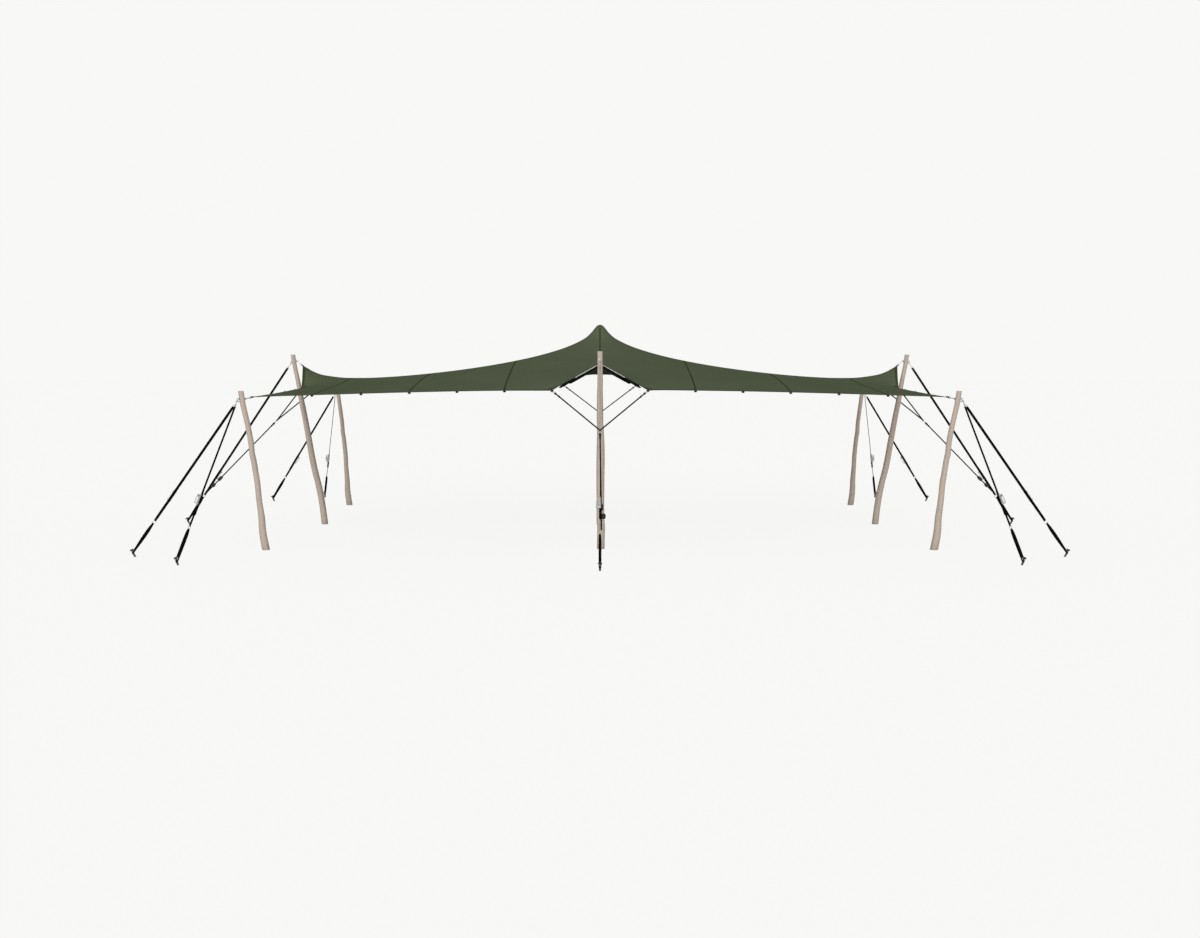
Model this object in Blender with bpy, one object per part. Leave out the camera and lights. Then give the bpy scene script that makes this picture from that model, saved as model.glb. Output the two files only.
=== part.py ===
"""Stretch tent of about 10.4 x 7.5 m: a green stretch fabric canopy on nine crooked wooden poles.

Four corner poles, four taller poles at the middles of the sides and a king pole under the peak
carry the fabric. Twelve webbing stays with ratchets run to stakes, and four rope bridles hold the
edges down beside the middle poles. Metres, +Z up, +X along the long side, -Y towards the viewer.
The origin is the middle of the tent on the ground.
"""
import bpy
import bmesh
import numpy as np
from math import cos, pi, radians, sin, sqrt

# Ground plan: poles, fabric and stakes, for the quarter with +X and +Y
CORNER_FOOT = (5.07, 3.61)
CORNER_TOP = (5.35, 3.89, 2.415)
SIDE_FOOT = (4.88, 0.0)
SIDE_TOP = (5.40, 0.0, 3.0)
END_FOOT = (0.0, 3.50)
END_TOP = (0.0, 4.02, 3.0)
STAKE_REACH = 1.725
STAKE_SPREAD = 0.836
MIDDLE_STAKE_REACH = 2.40

# Fabric: its cut size, the points that hold it, and its thickness in this model
HALF_LENGTH = 5.22
HALF_WIDTH = 3.76
CORNER_HEIGHT = 2.32
SIDE_HOLD = (5.23, 0.0, 2.80)
END_HOLD = (0.0, 3.86, 2.80)
SIDE_BRIDLE = (5.11, 0.725, 2.42)
END_BRIDLE = (0.725, 3.68, 2.42)
PEAK_HEIGHT = 3.52
PEAK_RADIUS = 0.09
# Round peak: place on the cut, radius, and how far below the top it lies
PEAK_PROFILE = ((0.0, 0.0, 0.0), (0.05, 0.048, 0.0139), (0.10, 0.090, 0.0587), (0.16, 0.145, 0.1275),
                (0.25, 0.225, 0.2045))
PEAK_CUT = PEAK_PROFILE[-1][0]
FABRIC = 0.008
EDGE_PULL = 14.0
# The pull is 1 at this distance from the peak, goes on falling to the end, and rises inwards by these powers
PULL_UNIT, PULL_END = 3.0, 5.0
PLAN_POWER, HEIGHT_POWER = 0.2, 0.4
PANEL = 1.45

# Grid lines of the fabric from the middle outwards: close round the peak, then whole parts of a panel
FINE_LINES = (0.0, 0.05, 0.10, 0.16, 0.25, 0.37, 0.53, 0.725, 1.04)
LENGTH_LINES = FINE_LINES + tuple(PANEL * k / 3 for k in range(3, 10)) + (4.79, 5.03, HALF_LENGTH)
WIDTH_LINES = FINE_LINES + tuple(PANEL * k / 3 for k in range(3, 7)) + (3.34, 3.57, HALF_WIDTH)

# Poles: radii at shares of the height, and the sizes of the slow bends along +X
POLE_SIDES = 10
POLE_STEPS = (0.0, 0.03, 0.08, 0.15, 0.25, 0.35, 0.45, 0.55, 0.65, 0.75, 0.85, 0.91, 1.0)
CORNER_GIRTH = ((0.0, 0.061), (0.15, 0.054), (0.25, 0.047), (0.5, 0.044), (0.75, 0.041), (1.0, 0.040))
SIDE_GIRTH = ((0.0, 0.058), (0.15, 0.0565), (0.45, 0.0525), (0.65, 0.047), (0.75, 0.044), (0.85, 0.038),
              (1.0, 0.0385))
END_GIRTH = ((0.0, 0.061), (0.15, 0.0625), (0.25, 0.068), (0.45, 0.0675), (0.55, 0.0565), (0.65, 0.0465),
             (0.85, 0.040), (1.0, 0.040))
KING_GIRTH = ((0.0, 0.062), (0.3, 0.062), (0.5, 0.052), (0.62, 0.043), (0.8, 0.040), (1.0, 0.040))
FRONT_CROOK = (0.026, -0.011)
BACK_CROOK = (0.023, -0.010, -0.003)
SIDE_CROOK = (0.004, 0.0055, 0.007)
END_CROOK = (0.010, 0.0075, 0.0035)
KING_CROOK = (0.004, -0.003)
CROOK_END = 0.91
CORNER_EYE = 2.295
MIDDLE_EYE = 2.885
HOLE_RADIUS = 0.0068
CAP_DROP = 0.17
CAP_RADIUS = 0.085

# Steel links, stays, ratchets, stakes and ropes
GAP = 0.0003
ROD = 0.006
EYE = 0.012
EYE_REACH = 0.048
CORNER_RING = (0.084, 0.032)
MIDDLE_RING = (0.062, 0.038)
HOOK_LENGTH = 0.11
WEBBING = (0.018, 0.0028)
FOLDED_WEBBING = (0.018, 0.013)
BOLT_HEIGHT = 0.94
DRUM_HEIGHT = 0.815
TAIL_HEIGHT = 0.665
RATCHET = (0.0205, 0.018)
RATCHET_OFFSET = 0.008
LEVER_PLATE = 0.0015
LEVER_GAP = 0.005
LINK_HEIGHT = 0.50
LINK_ROD = 0.009
STAKE_RADIUS = 0.015
STAKE_HEAD = 0.030
STAKE_TOP = 0.115
STAKE_LEAN = 0.45
LOOP_HEIGHT = 0.065
SLING_SPREAD = 0.0185
SLING_THICKNESS = 0.0015
SLING_TURN = pi / 5
ROPE = 0.008
SIDE_KNOT = (5.70, 0.0, 1.845)
END_KNOT = (0.0, 4.33, 1.845)

# Finishes: colour, roughness, metallic
FINISHES = {
    "fabric": ((0.078, 0.092, 0.060), 0.85, 0.0),
    "wood": ((0.41, 0.34, 0.285), 0.75, 0.0),
    "steel": ((0.55, 0.56, 0.57), 0.35, 1.0),
    "webbing": ((0.006, 0.006, 0.007), 0.8, 0.0),
    "rope": ((0.012, 0.012, 0.012), 0.85, 0.0),
    "cap": ((0.03, 0.03, 0.03), 0.7, 0.0),
}


def clear_scene():
    for old in list(bpy.data.objects):
        bpy.data.objects.remove(old, do_unlink=True)


def vec(*values):
    return np.array(values, dtype=float)


def unit(v):
    return np.asarray(v, dtype=float) / np.linalg.norm(v)


def finish_for(name, finish):
    colour, roughness, metallic = FINISHES[finish]
    material = bpy.data.materials.new(f"{finish}_{name}")
    material.use_nodes = True
    shader = material.node_tree.nodes["Principled BSDF"]
    shader.inputs["Base Color"].default_value = (*colour, 1.0)
    shader.inputs["Roughness"].default_value = roughness
    shader.inputs["Metallic"].default_value = metallic
    material.diffuse_color = (*colour, 1.0)
    return material


def mesh_object(name, vertices, faces, finish, smooth=True):
    """One object from points and faces, with its faces turned outwards."""
    mesh = bpy.data.meshes.new(name)
    mesh.from_pydata([tuple(map(float, v)) for v in vertices], [], [tuple(f) for f in faces])
    work = bmesh.new()
    work.from_mesh(mesh)
    bmesh.ops.recalc_face_normals(work, faces=work.faces)
    for face in work.faces:
        face.smooth = smooth
    work.to_mesh(mesh)
    work.free()
    mesh.materials.append(finish_for(name, finish))
    made = bpy.data.objects.new(name, mesh)
    bpy.context.scene.collection.objects.link(made)
    return made


def round_section(radius, sides):
    turn = np.arange(sides) * 2 * pi / sides
    return np.stack([radius * np.cos(turn), radius * np.sin(turn)], axis=1)


def flat_section(half_width, half_thickness):
    """A rectangle with clipped corners, in eight points, so that it can also shrink to a rod."""
    w, t = half_width, half_thickness
    clip = 0.3 * min(w, t)
    return np.array([(w, -t + clip), (w, t - clip), (w - clip, t), (-w + clip, t),
                     (-w, t - clip), (-w, -t + clip), (-w + clip, -t), (w - clip, -t)])


def rectangle(half_width, half_thickness):
    w, t = half_width, half_thickness
    return np.array([(w, -t), (w, t), (-w, t), (-w, -t)])


def skin(name, rings, finish, tips=(None, None), closed=False, smooth=True):
    """Join rings of points into one closed body, with flat or pointed ends unless it runs round."""
    count, sides = len(rings), len(rings[0])
    vertices = list(np.concatenate(rings))
    faces = []
    for i in range(count if closed else count - 1):
        a, b = i * sides, ((i + 1) % count) * sides
        for k in range(sides):
            n = (k + 1) % sides
            faces.append((a + k, a + n, b + n, b + k))
    if not closed:
        for tip, start in ((tips[0], 0), (tips[1], (count - 1) * sides)):
            ring = list(range(start, start + sides))
            if tip is None:
                faces.append(ring)
            else:
                vertices.append(tip)
                centre = len(vertices) - 1
                faces += [(ring[k], ring[(k + 1) % sides], centre) for k in range(sides)]
    return mesh_object(name, vertices, faces, finish, smooth)


def sweep(name, points, sections, side, finish, tips=(None, None), smooth=True):
    """Carry sections along a path. Each section's first axis stays near the side vector there."""
    points = np.asarray(points, dtype=float)
    side = np.broadcast_to(np.asarray(side, dtype=float), points.shape)
    ways = [unit(b - a) for a, b in zip(points[:-1], points[1:])]
    rings = []
    for i, point in enumerate(points):
        into, out = ways[max(i - 1, 0)], ways[min(i, len(ways) - 1)]
        along = unit(into + out)
        first = unit(side[i] - along * np.dot(side[i], along))
        second = np.cross(along, first)
        mitre = 1.0 / max(0.5, np.dot(into, along))
        flat = sections[i]
        rings.append(point + flat[:, :1] * first + flat[:, 1:] * second * mitre)
    return skin(name, rings, finish, tips, False, smooth)


def combine(target, others, operation="UNION"):
    """Fuse or cut with exact Booleans and keep only the target object."""
    for other in others:
        modifier = target.modifiers.new(operation.lower(), "BOOLEAN")
        modifier.operation = operation
        modifier.solver = "EXACT"
        modifier.object = other
    bpy.context.view_layer.update()
    graph = bpy.context.evaluated_depsgraph_get()
    fused = bpy.data.meshes.new_from_object(target.evaluated_get(graph))
    own = target.data.materials[0]
    target.modifiers.clear()
    target.data = fused
    fused.materials.clear()
    fused.materials.append(own)
    for other in others:
        bpy.data.objects.remove(other, do_unlink=True)
    return target


# The fabric


def both_ways(lines):
    half = np.array(lines)
    return np.concatenate([-half[:0:-1], half])


def peak_points(u, v):
    """The middle of the cut, drawn up into a round peak over the king pole's cap."""
    reach = np.maximum(np.abs(u), np.abs(v))
    angle = np.arctan2(v, u)
    cut, radii, drops = zip(*PEAK_PROFILE)
    radius = np.interp(reach, cut, radii)
    height = PEAK_HEIGHT - np.interp(reach, cut, drops)
    return np.stack([radius * np.cos(angle), radius * np.sin(angle), height], axis=-1)


def held_points(u, v):
    """Mask and places of the points that poles, bridles and the cap hold."""
    held = np.zeros(u.shape, dtype=bool)
    place = np.zeros(u.shape + (3,))
    near = np.maximum(np.abs(u), np.abs(v)) <= PEAK_CUT + 1e-4
    held |= near
    place[near] = peak_points(u[near], v[near])
    holds = [(HALF_LENGTH, HALF_WIDTH, (HALF_LENGTH, HALF_WIDTH, CORNER_HEIGHT)),
             (HALF_LENGTH, 0.0, SIDE_HOLD), (0.0, HALF_WIDTH, END_HOLD),
             (HALF_LENGTH, 0.725, SIDE_BRIDLE), (0.725, HALF_WIDTH, END_BRIDLE)]
    for hu, hv, point in holds:
        here = (np.abs(np.abs(u) - hu) < 1e-6) & (np.abs(np.abs(v) - hv) < 1e-6)
        held |= here
        x = np.sign(u[here]) * point[0]
        y = np.sign(v[here]) * point[1]
        place[here] = np.stack([x, y, np.full(x.shape, point[2])], axis=-1)
    return held, place


def stretch(u, v, power):
    """How much harder the fabric pulls towards the peak, where it is stretched most."""
    return (PULL_UNIT / np.clip(np.hypot(u, v), PEAK_CUT, PULL_END)) ** power


def tension_surface():
    """The sheet's grid points: their places in plan and their heights are balanced apart, because the
    fabric is stretched more up the slope than round it."""
    points = balanced_net(PLAN_POWER)
    points[..., 2] = balanced_net(HEIGHT_POWER)[..., 2]
    return points


def balanced_net(power):
    """Balance a net of pulls: each fabric strip pulls by its width over its length, and the hem
    pulls harder, so that the edges bow inwards between the poles as on a real stretched sheet."""
    lines_u, lines_v = both_ways(LENGTH_LINES), both_ways(WIDTH_LINES)
    u, v = np.meshgrid(lines_u, lines_v, indexing="ij")
    held, place = held_points(u, v)
    rows, cols = u.shape
    index = np.arange(rows * cols).reshape(rows, cols)
    share_u = np.gradient(lines_u) * np.where((np.arange(rows) % (rows - 1)) == 0, 0.5, 1.0)
    share_v = np.gradient(lines_v) * np.where((np.arange(cols) % (cols - 1)) == 0, 0.5, 1.0)
    matrix = np.zeros((rows * cols, rows * cols))

    def link(a, b, pull):
        a, b, pull = a.ravel(), b.ravel(), np.broadcast_to(pull, a.shape).ravel()
        np.add.at(matrix, (a, a), pull)
        np.add.at(matrix, (b, b), pull)
        np.add.at(matrix, (a, b), -pull)
        np.add.at(matrix, (b, a), -pull)

    between_u, between_v = (lines_u[1:] + lines_u[:-1]) / 2, (lines_v[1:] + lines_v[:-1]) / 2
    pull_u = share_v[None, :] / np.diff(lines_u)[:, None] * stretch(between_u[:, None], lines_v[None, :], power)
    pull_v = share_u[:, None] / np.diff(lines_v)[None, :] * stretch(lines_u[:, None], between_v[None, :], power)
    pull_u[:, [0, -1]] += EDGE_PULL / np.diff(lines_u)[:, None]
    pull_v[[0, -1], :] += EDGE_PULL / np.diff(lines_v)[None, :]
    link(index[:-1, :], index[1:, :], pull_u)
    link(index[:, :-1], index[:, 1:], pull_v)
    fixed = held.ravel()
    points = place.reshape(-1, 3)
    load = -matrix[np.ix_(~fixed, fixed)] @ points[fixed]
    points[~fixed] = np.linalg.solve(matrix[np.ix_(~fixed, ~fixed)], load)
    return points.reshape(rows, cols, 3)


def make_canopy():
    top = tension_surface()
    along = np.gradient(top, axis=0)
    across = np.gradient(top, axis=1)
    normal = np.cross(along, across)
    normal /= np.linalg.norm(normal, axis=-1, keepdims=True)
    under = top - normal * FABRIC
    rows, cols = top.shape[:2]
    size = rows * cols
    faces = []
    for i in range(rows - 1):
        for j in range(cols - 1):
            a, b, c, d = i * cols + j, (i + 1) * cols + j, (i + 1) * cols + j + 1, i * cols + j + 1
            turn = (i < rows // 2) == (j < cols // 2)
            for tri in (((a, b, c), (a, c, d)) if turn else ((a, b, d), (b, c, d))):
                faces += [tri, tuple(size + k for k in reversed(tri))]
    border = [i * cols for i in range(rows)] + [(rows - 1) * cols + j for j in range(1, cols)]
    border += [i * cols + cols - 1 for i in range(rows - 2, -1, -1)] + list(range(cols - 2, 0, -1))
    for k, a in enumerate(border):
        b = border[(k + 1) % len(border)]
        faces.append((a, b, size + b, size + a))
    vertices = np.concatenate([top.reshape(-1, 3), under.reshape(-1, 3)])
    mesh_object("canopy", vertices, faces, "fabric")
    return top, under


def edge_point(top, under, u, v):
    """The top and under points of the grid point with that place on the cut."""
    lines_u, lines_v = both_ways(LENGTH_LINES), both_ways(WIDTH_LINES)
    i = int(np.argmin(np.abs(lines_u - u)))
    j = int(np.argmin(np.abs(lines_v - v)))
    return top[i, j], under[i, j]


# The poles


def pole_rings(foot, top, girth, crook, side):
    """Centre line and radii: a straight lean plus slow bends in halves, thirds and so on."""
    foot, top = vec(foot[0], foot[1], 0.0), vec(*top)
    lean = unit(top - foot)
    steps = np.array(POLE_STEPS)
    phase = pi * np.minimum(steps / CROOK_END, 1.0)
    drift = sum(size * np.sin((k + 1) * phase) for k, size in enumerate(crook))
    bend_way = side - lean * np.dot(side, lean)
    centre = foot + (top - foot) * steps[:, None] + bend_way * drift[:, None]
    share, radius = zip(*girth)
    return centre, np.interp(steps, share, radius)


def make_pole(name, foot, top, girth, crook, side, eye=None, outward=None):
    """A crooked pole with a level foot and head, drilled for the eye bolt."""
    centre, radii = pole_rings(foot, top, girth, crook, side)
    sides = POLE_SIDES
    angle = np.arange(sides) * 2 * pi / sides
    rings = [c + np.stack([r * np.cos(angle), r * np.sin(angle), 0 * angle], axis=1)
             for c, r in zip(centre, radii)]
    vertices = np.concatenate(rings)
    faces = [list(range(sides)), list(range((len(rings) - 1) * sides, len(rings) * sides))]
    for i in range(len(rings) - 1):
        for k in range(sides):
            n = (k + 1) % sides
            faces.append((i * sides + k, i * sides + n, (i + 1) * sides + n, (i + 1) * sides + k))
    pole = mesh_object(name, vertices, faces, "wood")
    if eye is not None:
        across = vec(-outward[1], outward[0], 0.0)
        ends = [eye - outward * 0.2, eye + outward * 0.2]
        drill = sweep("drill", ends, [round_section(HOLE_RADIUS, 8)] * 2, across, "steel")
        combine(pole, [drill], "DIFFERENCE")
    return pole


def pole_axis(foot, top, height):
    return vec(foot[0], foot[1], 0.0) + (vec(*top) - vec(foot[0], foot[1], 0.0)) * height / top[2]


def make_link(name, hold, eye, outward, reach):
    """Eye bolt through the pole, with the shackle to the fabric and the ring for the stays."""
    across = vec(-outward[1], outward[0], 0.0)
    start = hold + outward * GAP
    inner, outer = eye - outward * EYE_REACH, eye + outward * EYE_REACH
    ring = eye + outward * reach[0] - vec(0, 0, reach[1])
    way, fall = unit(inner - start), unit(ring - outer)
    path = [start + way * 0.012, inner - way * 0.026, inner - outward * 0.010, inner, inner + outward * 0.006,
            outer - outward * 0.006, outer, ring - fall * 0.008, ring, ring + fall * 0.008]
    radii = [ROD, ROD, 0.011, 0.011, ROD, ROD, 0.008, 0.0095, EYE, 0.0095]
    sections = [round_section(r, 8) for r in radii]
    tips = (start, ring + fall * EYE)
    sweep(name, path, sections, across, "steel", tips)
    return ring


# The stays and stakes


def stake_axis(ground, outward, height):
    return ground + outward * STAKE_LEAN * height + vec(0, 0, height)


def make_stake(name, ground, outward):
    """A round stake leaning away from the tent, with a mushroom head above its loop."""
    across = vec(-outward[1], outward[0], 0.0)
    axis = unit(outward * STAKE_LEAN + vec(0, 0, 1))
    head = stake_axis(ground, outward, STAKE_TOP)
    foot_section = round_section(STAKE_RADIUS, 12)
    shaft = head - axis * 0.018
    path = [ground, shaft, shaft + axis * 0.002, head - axis * 0.006, head]
    radii = [STAKE_RADIUS, STAKE_RADIUS, STAKE_HEAD * 0.9, STAKE_HEAD, STAKE_HEAD * 0.6]
    stake = sweep(name, path, [round_section(r, 12) for r in radii], across, "steel")
    level = np.zeros((12, 3))
    slope = STAKE_LEAN * STAKE_RADIUS / sqrt(1 + STAKE_LEAN ** 2)
    for k, vertex in enumerate(list(stake.data.vertices)[:12]):
        point = vec(*vertex.co)
        level[k] = point - axis * point[2] / axis[2]
        vertex.co = level[k]
    return stake


def stay_frame(ring, ground, outward):
    """Line of a stay from its ring to its stake loop: start, direction, width and thickness ways."""
    loop = stake_axis(ground, outward, LOOP_HEIGHT)
    along = unit(loop - ring)
    flat = unit(np.cross(along, vec(0, 0, 1)))
    width = unit(np.cross(flat, along))
    return loop, along, width, flat


def at_height(ring, along, height):
    return (height - ring[2]) / along[2]


def make_stay(name, ring, ground, outward, swing):
    """Hook, webbing, ratchet frame, folded tail, steel link and the sling round the stake, in one body."""
    loop, along, width, flat = stay_frame(ring, ground, outward)
    tip = ring + along * (EYE * 0.96 + GAP)
    heights = (BOLT_HEIGHT, DRUM_HEIGHT, TAIL_HEIGHT, LINK_HEIGHT)
    bolt, drum, tail, link = (at_height(ring, along, z) for z in heights)
    rod, w, folded, frame = (ROD, ROD, 0), (*WEBBING, 0), (*FOLDED_WEBBING, 0), (*RATCHET, RATCHET_OFFSET)
    bar = (LINK_ROD, LINK_ROD, 0)
    spans = [(EYE + 0.018, rod), (HOOK_LENGTH, rod), (HOOK_LENGTH + 0.012, w), (bolt - 0.012, w),
             (bolt, (RATCHET[0], RATCHET[1] * 0.6, RATCHET_OFFSET * 0.3)), (bolt + 0.03, frame),
             (drum + 0.014, frame), (drum + 0.034, folded), (tail - 0.012, folded), (tail, w),
             (link - 0.052, w), (link - 0.040, bar), (link + 0.050, bar)]
    path = [ring + along * s + flat * swing * size[2] for s, size in spans]
    sections = [flat_section(*size[:2]) for _, size in spans]
    strap = sweep(name, path, sections, width, "webbing", (tip, None), smooth=False)
    sling = make_sling(name, ring + along * (link + 0.044), loop, along, width, flat, outward)
    return combine(strap, [sling])


def make_sling(name, start, loop, along, width, flat, outward):
    """A flat band in a loop: out of the steel link, down two legs and round the back of the stake."""
    axis = unit(outward * STAKE_LEAN + vec(0, 0, 1))
    back = unit(along - axis * np.dot(along, axis))
    slant = float(np.dot(along, back))
    mitre = 1 / cos(SLING_TURN / 2)
    around = (STAKE_RADIUS + SLING_THICKNESS + GAP) * mitre
    length = float(np.dot(loop - start, along))
    leg = [(0.0, 0.012, 0.009, unit(flat - along) * 1.4), (length * 0.14, SLING_SPREAD * 0.92, 0.015, flat),
           (length * 0.32, SLING_SPREAD, 0.0235, flat), (length * 0.7, SLING_SPREAD, 0.018, flat)]
    rings = []

    def band(s, f, way, half_width, normal):
        centre = start + along * s + flat * f
        rings.append([centre + way * half_width * a + normal * SLING_THICKNESS * b
                      for a, b in ((1, -1), (1, 1), (-1, 1), (-1, -1))])

    for s, f, half_width, normal in leg:
        band(s, -f, width, half_width, normal - 2 * flat * np.dot(flat, normal))
    for k in range(6):
        turn = SLING_TURN * (k - 2.5)
        normal = (back * cos(turn) + flat * sin(turn)) * mitre
        band(length + around / slant * cos(turn), around * sin(turn), axis, 0.015, normal)
    for s, f, half_width, normal in reversed(leg):
        band(s, f, width, half_width, normal)
    return skin(name + "_sling", rings, "webbing", closed=True)


def make_lever(name, ring, ground, outward, swing):
    """U-shaped steel handle of a ratchet: its ears stand out from the drum, and its arms run up along
    the stay to the grip. Each point gives the way across, the way up, the way out and the section."""
    loop, along, width, flat = stay_frame(ring, ground, outward)
    up, out = -along, flat * swing
    pivot = ring + along * at_height(ring, along, DRUM_HEIGHT)
    plate = RATCHET[0] + GAP + LEVER_PLATE
    arm = RATCHET[0] + LEVER_GAP + LEVER_PLATE
    corner = unit(up - out)
    half = [(plate, 0.0, -0.010, up, (0.010, LEVER_PLATE)), (plate, 0.0, 0.012, up, (0.010, LEVER_PLATE)),
            (arm, 0.002, 0.030, up, (0.009, LEVER_PLATE)), (arm, 0.014, 0.050, corner, (0.008, LEVER_PLATE)),
            (arm, 0.060, 0.049, -out, (0.008, LEVER_PLATE)), (arm, 0.132, 0.043, -out, (0.007, LEVER_PLATE)),
            (arm - 0.010, 0.152, 0.040, -out, (0.005, 0.008))]
    path = [pivot + width * w + up * s + out * h for w, s, h, _, _ in half]
    path += [pivot - width * w + up * s + out * h for w, s, h, _, _ in reversed(half)]
    side = [row[3] for row in half] + [row[3] for row in reversed(half)]
    sections = [rectangle(*row[4]) for row in half] + [rectangle(*row[4]) for row in reversed(half)]
    lever = sweep(name, path, sections, side, "steel", smooth=False)
    place_origin(lever, pivot)
    return pivot, width * swing


def place_origin(made, point):
    """Move an object's origin onto a point without moving its mesh in the world."""
    for vertex in made.data.vertices:
        vertex.co = vec(*vertex.co) - point
    made.location = tuple(map(float, point))


# The rope bridles


def make_bridle(name, knot, holds, ring, ground, outward, swing):
    """Two rope legs from the fabric edge to a ring, and one leg with its tensioner to the stay."""
    loop, along, width, flat = stay_frame(ring, ground, outward)
    tips = [point - unit(point - knot) * GAP for point in holds]
    plane = unit(np.cross(holds[0] - knot, holds[1] - knot))
    legs = [t + unit(knot - t) * 0.014 for t in tips]
    near = [knot + unit(t - knot) * 0.03 for t in tips]
    vee = sweep(name, [legs[0], near[0], knot, near[1], legs[1]], [round_section(ROPE, 8)] * 5,
                plane, "rope", (tips[0], tips[1]))
    foot = ring + along * (at_height(ring, along, LINK_HEIGHT) - 0.02)
    beside = -flat * swing
    end = foot + beside * (LINK_ROD + GAP)
    last = foot + beside * (LINK_ROD + ROPE + 0.003) - along * 0.016
    fall = last - knot
    stops = [0.0, 0.03, 0.045, 0.09, 0.105, 0.78, 0.785, 0.86, 0.865, 1.0]
    radii = [ROPE, ROPE, 0.014, 0.014, ROPE, ROPE, 0.016, 0.016, ROPE, ROPE]
    path = [knot + fall * s for s in stops]
    leg = sweep(name + "_leg", path, [round_section(r, 8) for r in radii], vec(-outward[1], outward[0], 0),
                "rope", (None, end))
    return combine(vee, [leg])


# The king pole and its cap


def make_cap():
    """Domed pole cap: it touches the fabric at the peak and rests on the king pole."""
    centre = PEAK_HEIGHT - PEAK_RADIUS
    inner = PEAK_RADIUS - FABRIC - 0.009
    apex = PEAK_HEIGHT - FABRIC - GAP
    rings = [(inner * sin(radians(a)), centre + inner * cos(radians(a))) for a in (24, 46, 64)]
    base = PEAK_HEIGHT - CAP_DROP
    rings += [(CAP_RADIUS, base + 0.03), (CAP_RADIUS * 0.93, base)]
    path = [(0, 0, z) for _, z in rings]
    sections = [round_section(r, 16) for r, _ in rings]
    sweep("king_pole_cap", path, sections, vec(1, 0, 0), "cap", ((0, 0, apex), None))
    return base


def stand_points(sign_x, sign_y):
    """Names and places of one corner's pole, from the quarter's driving sizes."""
    name = f"{'front' if sign_y < 0 else 'back'}_{'left' if sign_x < 0 else 'right'}"
    turn = vec(sign_x, sign_y)
    foot = CORNER_FOOT * turn
    top = (CORNER_TOP[0] * sign_x, CORNER_TOP[1] * sign_y, CORNER_TOP[2])
    outward = vec(sign_x, sign_y, 0) / sqrt(2)
    return name, foot, top, outward


def make_corner(sign_x, sign_y, top_face, under_face):
    name, foot, top, outward = stand_points(sign_x, sign_y)
    eye = pole_axis(foot, top, CORNER_EYE)
    crook = FRONT_CROOK if sign_y < 0 else BACK_CROOK
    side = vec(-sign_x, -0.4 * sign_y, 0.0)
    make_pole(f"pole_{name}", foot, top, CORNER_GIRTH, crook, side, eye, outward)
    upper, lower = edge_point(top_face, under_face, sign_x * HALF_LENGTH, sign_y * HALF_WIDTH)
    ring = make_link(f"pole_link_{name}", (upper + lower) / 2, eye, outward, CORNER_RING)
    end = "front" if sign_y < 0 else "back"
    stays = (("side", (STAKE_REACH, STAKE_SPREAD), -sign_x), (end, (STAKE_SPREAD, STAKE_REACH), sign_x * sign_y))
    for kind, reach, swing in stays:
        ground = vec(foot[0] + sign_x * reach[0], foot[1] + sign_y * reach[1], 0.0)
        way = unit(vec(ground[0] - ring[0], ground[1] - ring[1], 0.0))
        make_stake(f"stake_{name}_{kind}", ground, way)
        make_stay(f"stay_{name}_{kind}", ring, ground, way, swing)
        report_lever(f"ratchet_lever_{name}_{kind}", ring, ground, way, swing)


def report_lever(name, ring, ground, way, swing):
    """Make a lever and print the place and axis of its hinge."""
    pivot, axis = make_lever(name, ring, ground, way, swing)
    print("HINGE", name, [round(float(c), 6) for c in pivot], [round(float(c), 6) for c in axis])


def make_middle(name, foot, top, outward, knot, top_face, under_face, cut, girth, crook, side, swing):
    eye = pole_axis(foot, top, MIDDLE_EYE)
    across = vec(-outward[1], outward[0], 0.0)
    make_pole(f"pole_{name}", foot, top, girth, crook, side, eye, outward)
    upper, lower = edge_point(top_face, under_face, *cut)
    ring = make_link(f"pole_link_{name}", (upper + lower) / 2, eye, outward, MIDDLE_RING)
    ground = vec(foot[0], foot[1], 0) + outward * MIDDLE_STAKE_REACH
    make_stake(f"stake_{name}", ground, outward)
    make_stay(f"stay_{name}", ring, ground, outward, swing)
    report_lever(f"ratchet_lever_{name}", ring, ground, outward, swing)
    holds = [edge_point(top_face, under_face, *(vec(*cut) + across[:2] * 0.725 * s))[1] for s in (-1, 1)]
    make_bridle(f"bridle_{name}", knot, holds, ring, ground, outward, swing)


def main():
    clear_scene()
    top_face, under_face = make_canopy()
    base = make_cap()
    make_pole("pole_king", (0, 0), (0.0, 0.0, base - GAP), KING_GIRTH, KING_CROOK, vec(1, 0, 0))
    for sign_x in (-1, 1):
        for sign_y in (-1, 1):
            make_corner(sign_x, sign_y, top_face, under_face)
    for sign, side_name, end_name in ((-1, "left", "front"), (1, "right", "back")):
        foot, top = vec(*SIDE_FOOT) * sign, (SIDE_TOP[0] * sign, 0.0, SIDE_TOP[2])
        knot = vec(SIDE_KNOT[0] * sign, 0, SIDE_KNOT[2])
        make_middle(side_name, foot, top, vec(sign, 0, 0), knot, top_face, under_face,
                    (sign * HALF_LENGTH, 0.0), SIDE_GIRTH, SIDE_CROOK, vec(-sign, 0.5, 0), -sign)
        foot, top = vec(*END_FOOT) * sign, (0.0, END_TOP[1] * sign, END_TOP[2])
        knot = vec(0, END_KNOT[1] * sign, END_KNOT[2])
        make_middle(end_name, foot, top, vec(0, sign, 0), knot, top_face, under_face,
                    (0.0, sign * HALF_WIDTH), END_GIRTH, END_CROOK, vec(1, 0.4 * sign, 0), -sign)


main()
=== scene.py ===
"""Looks of a stretch tent of about 10.4 x 7.5 m: stretched green fabric on nine crooked wooden poles.

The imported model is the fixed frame. Each class builds one kind of sub-assembly as surfaces worked out with
numpy and rides it on the model's bodies. Metres, +Z up, +X along the long side, -Y towards the viewer, the
origin on the ground under the peak.
"""

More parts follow.
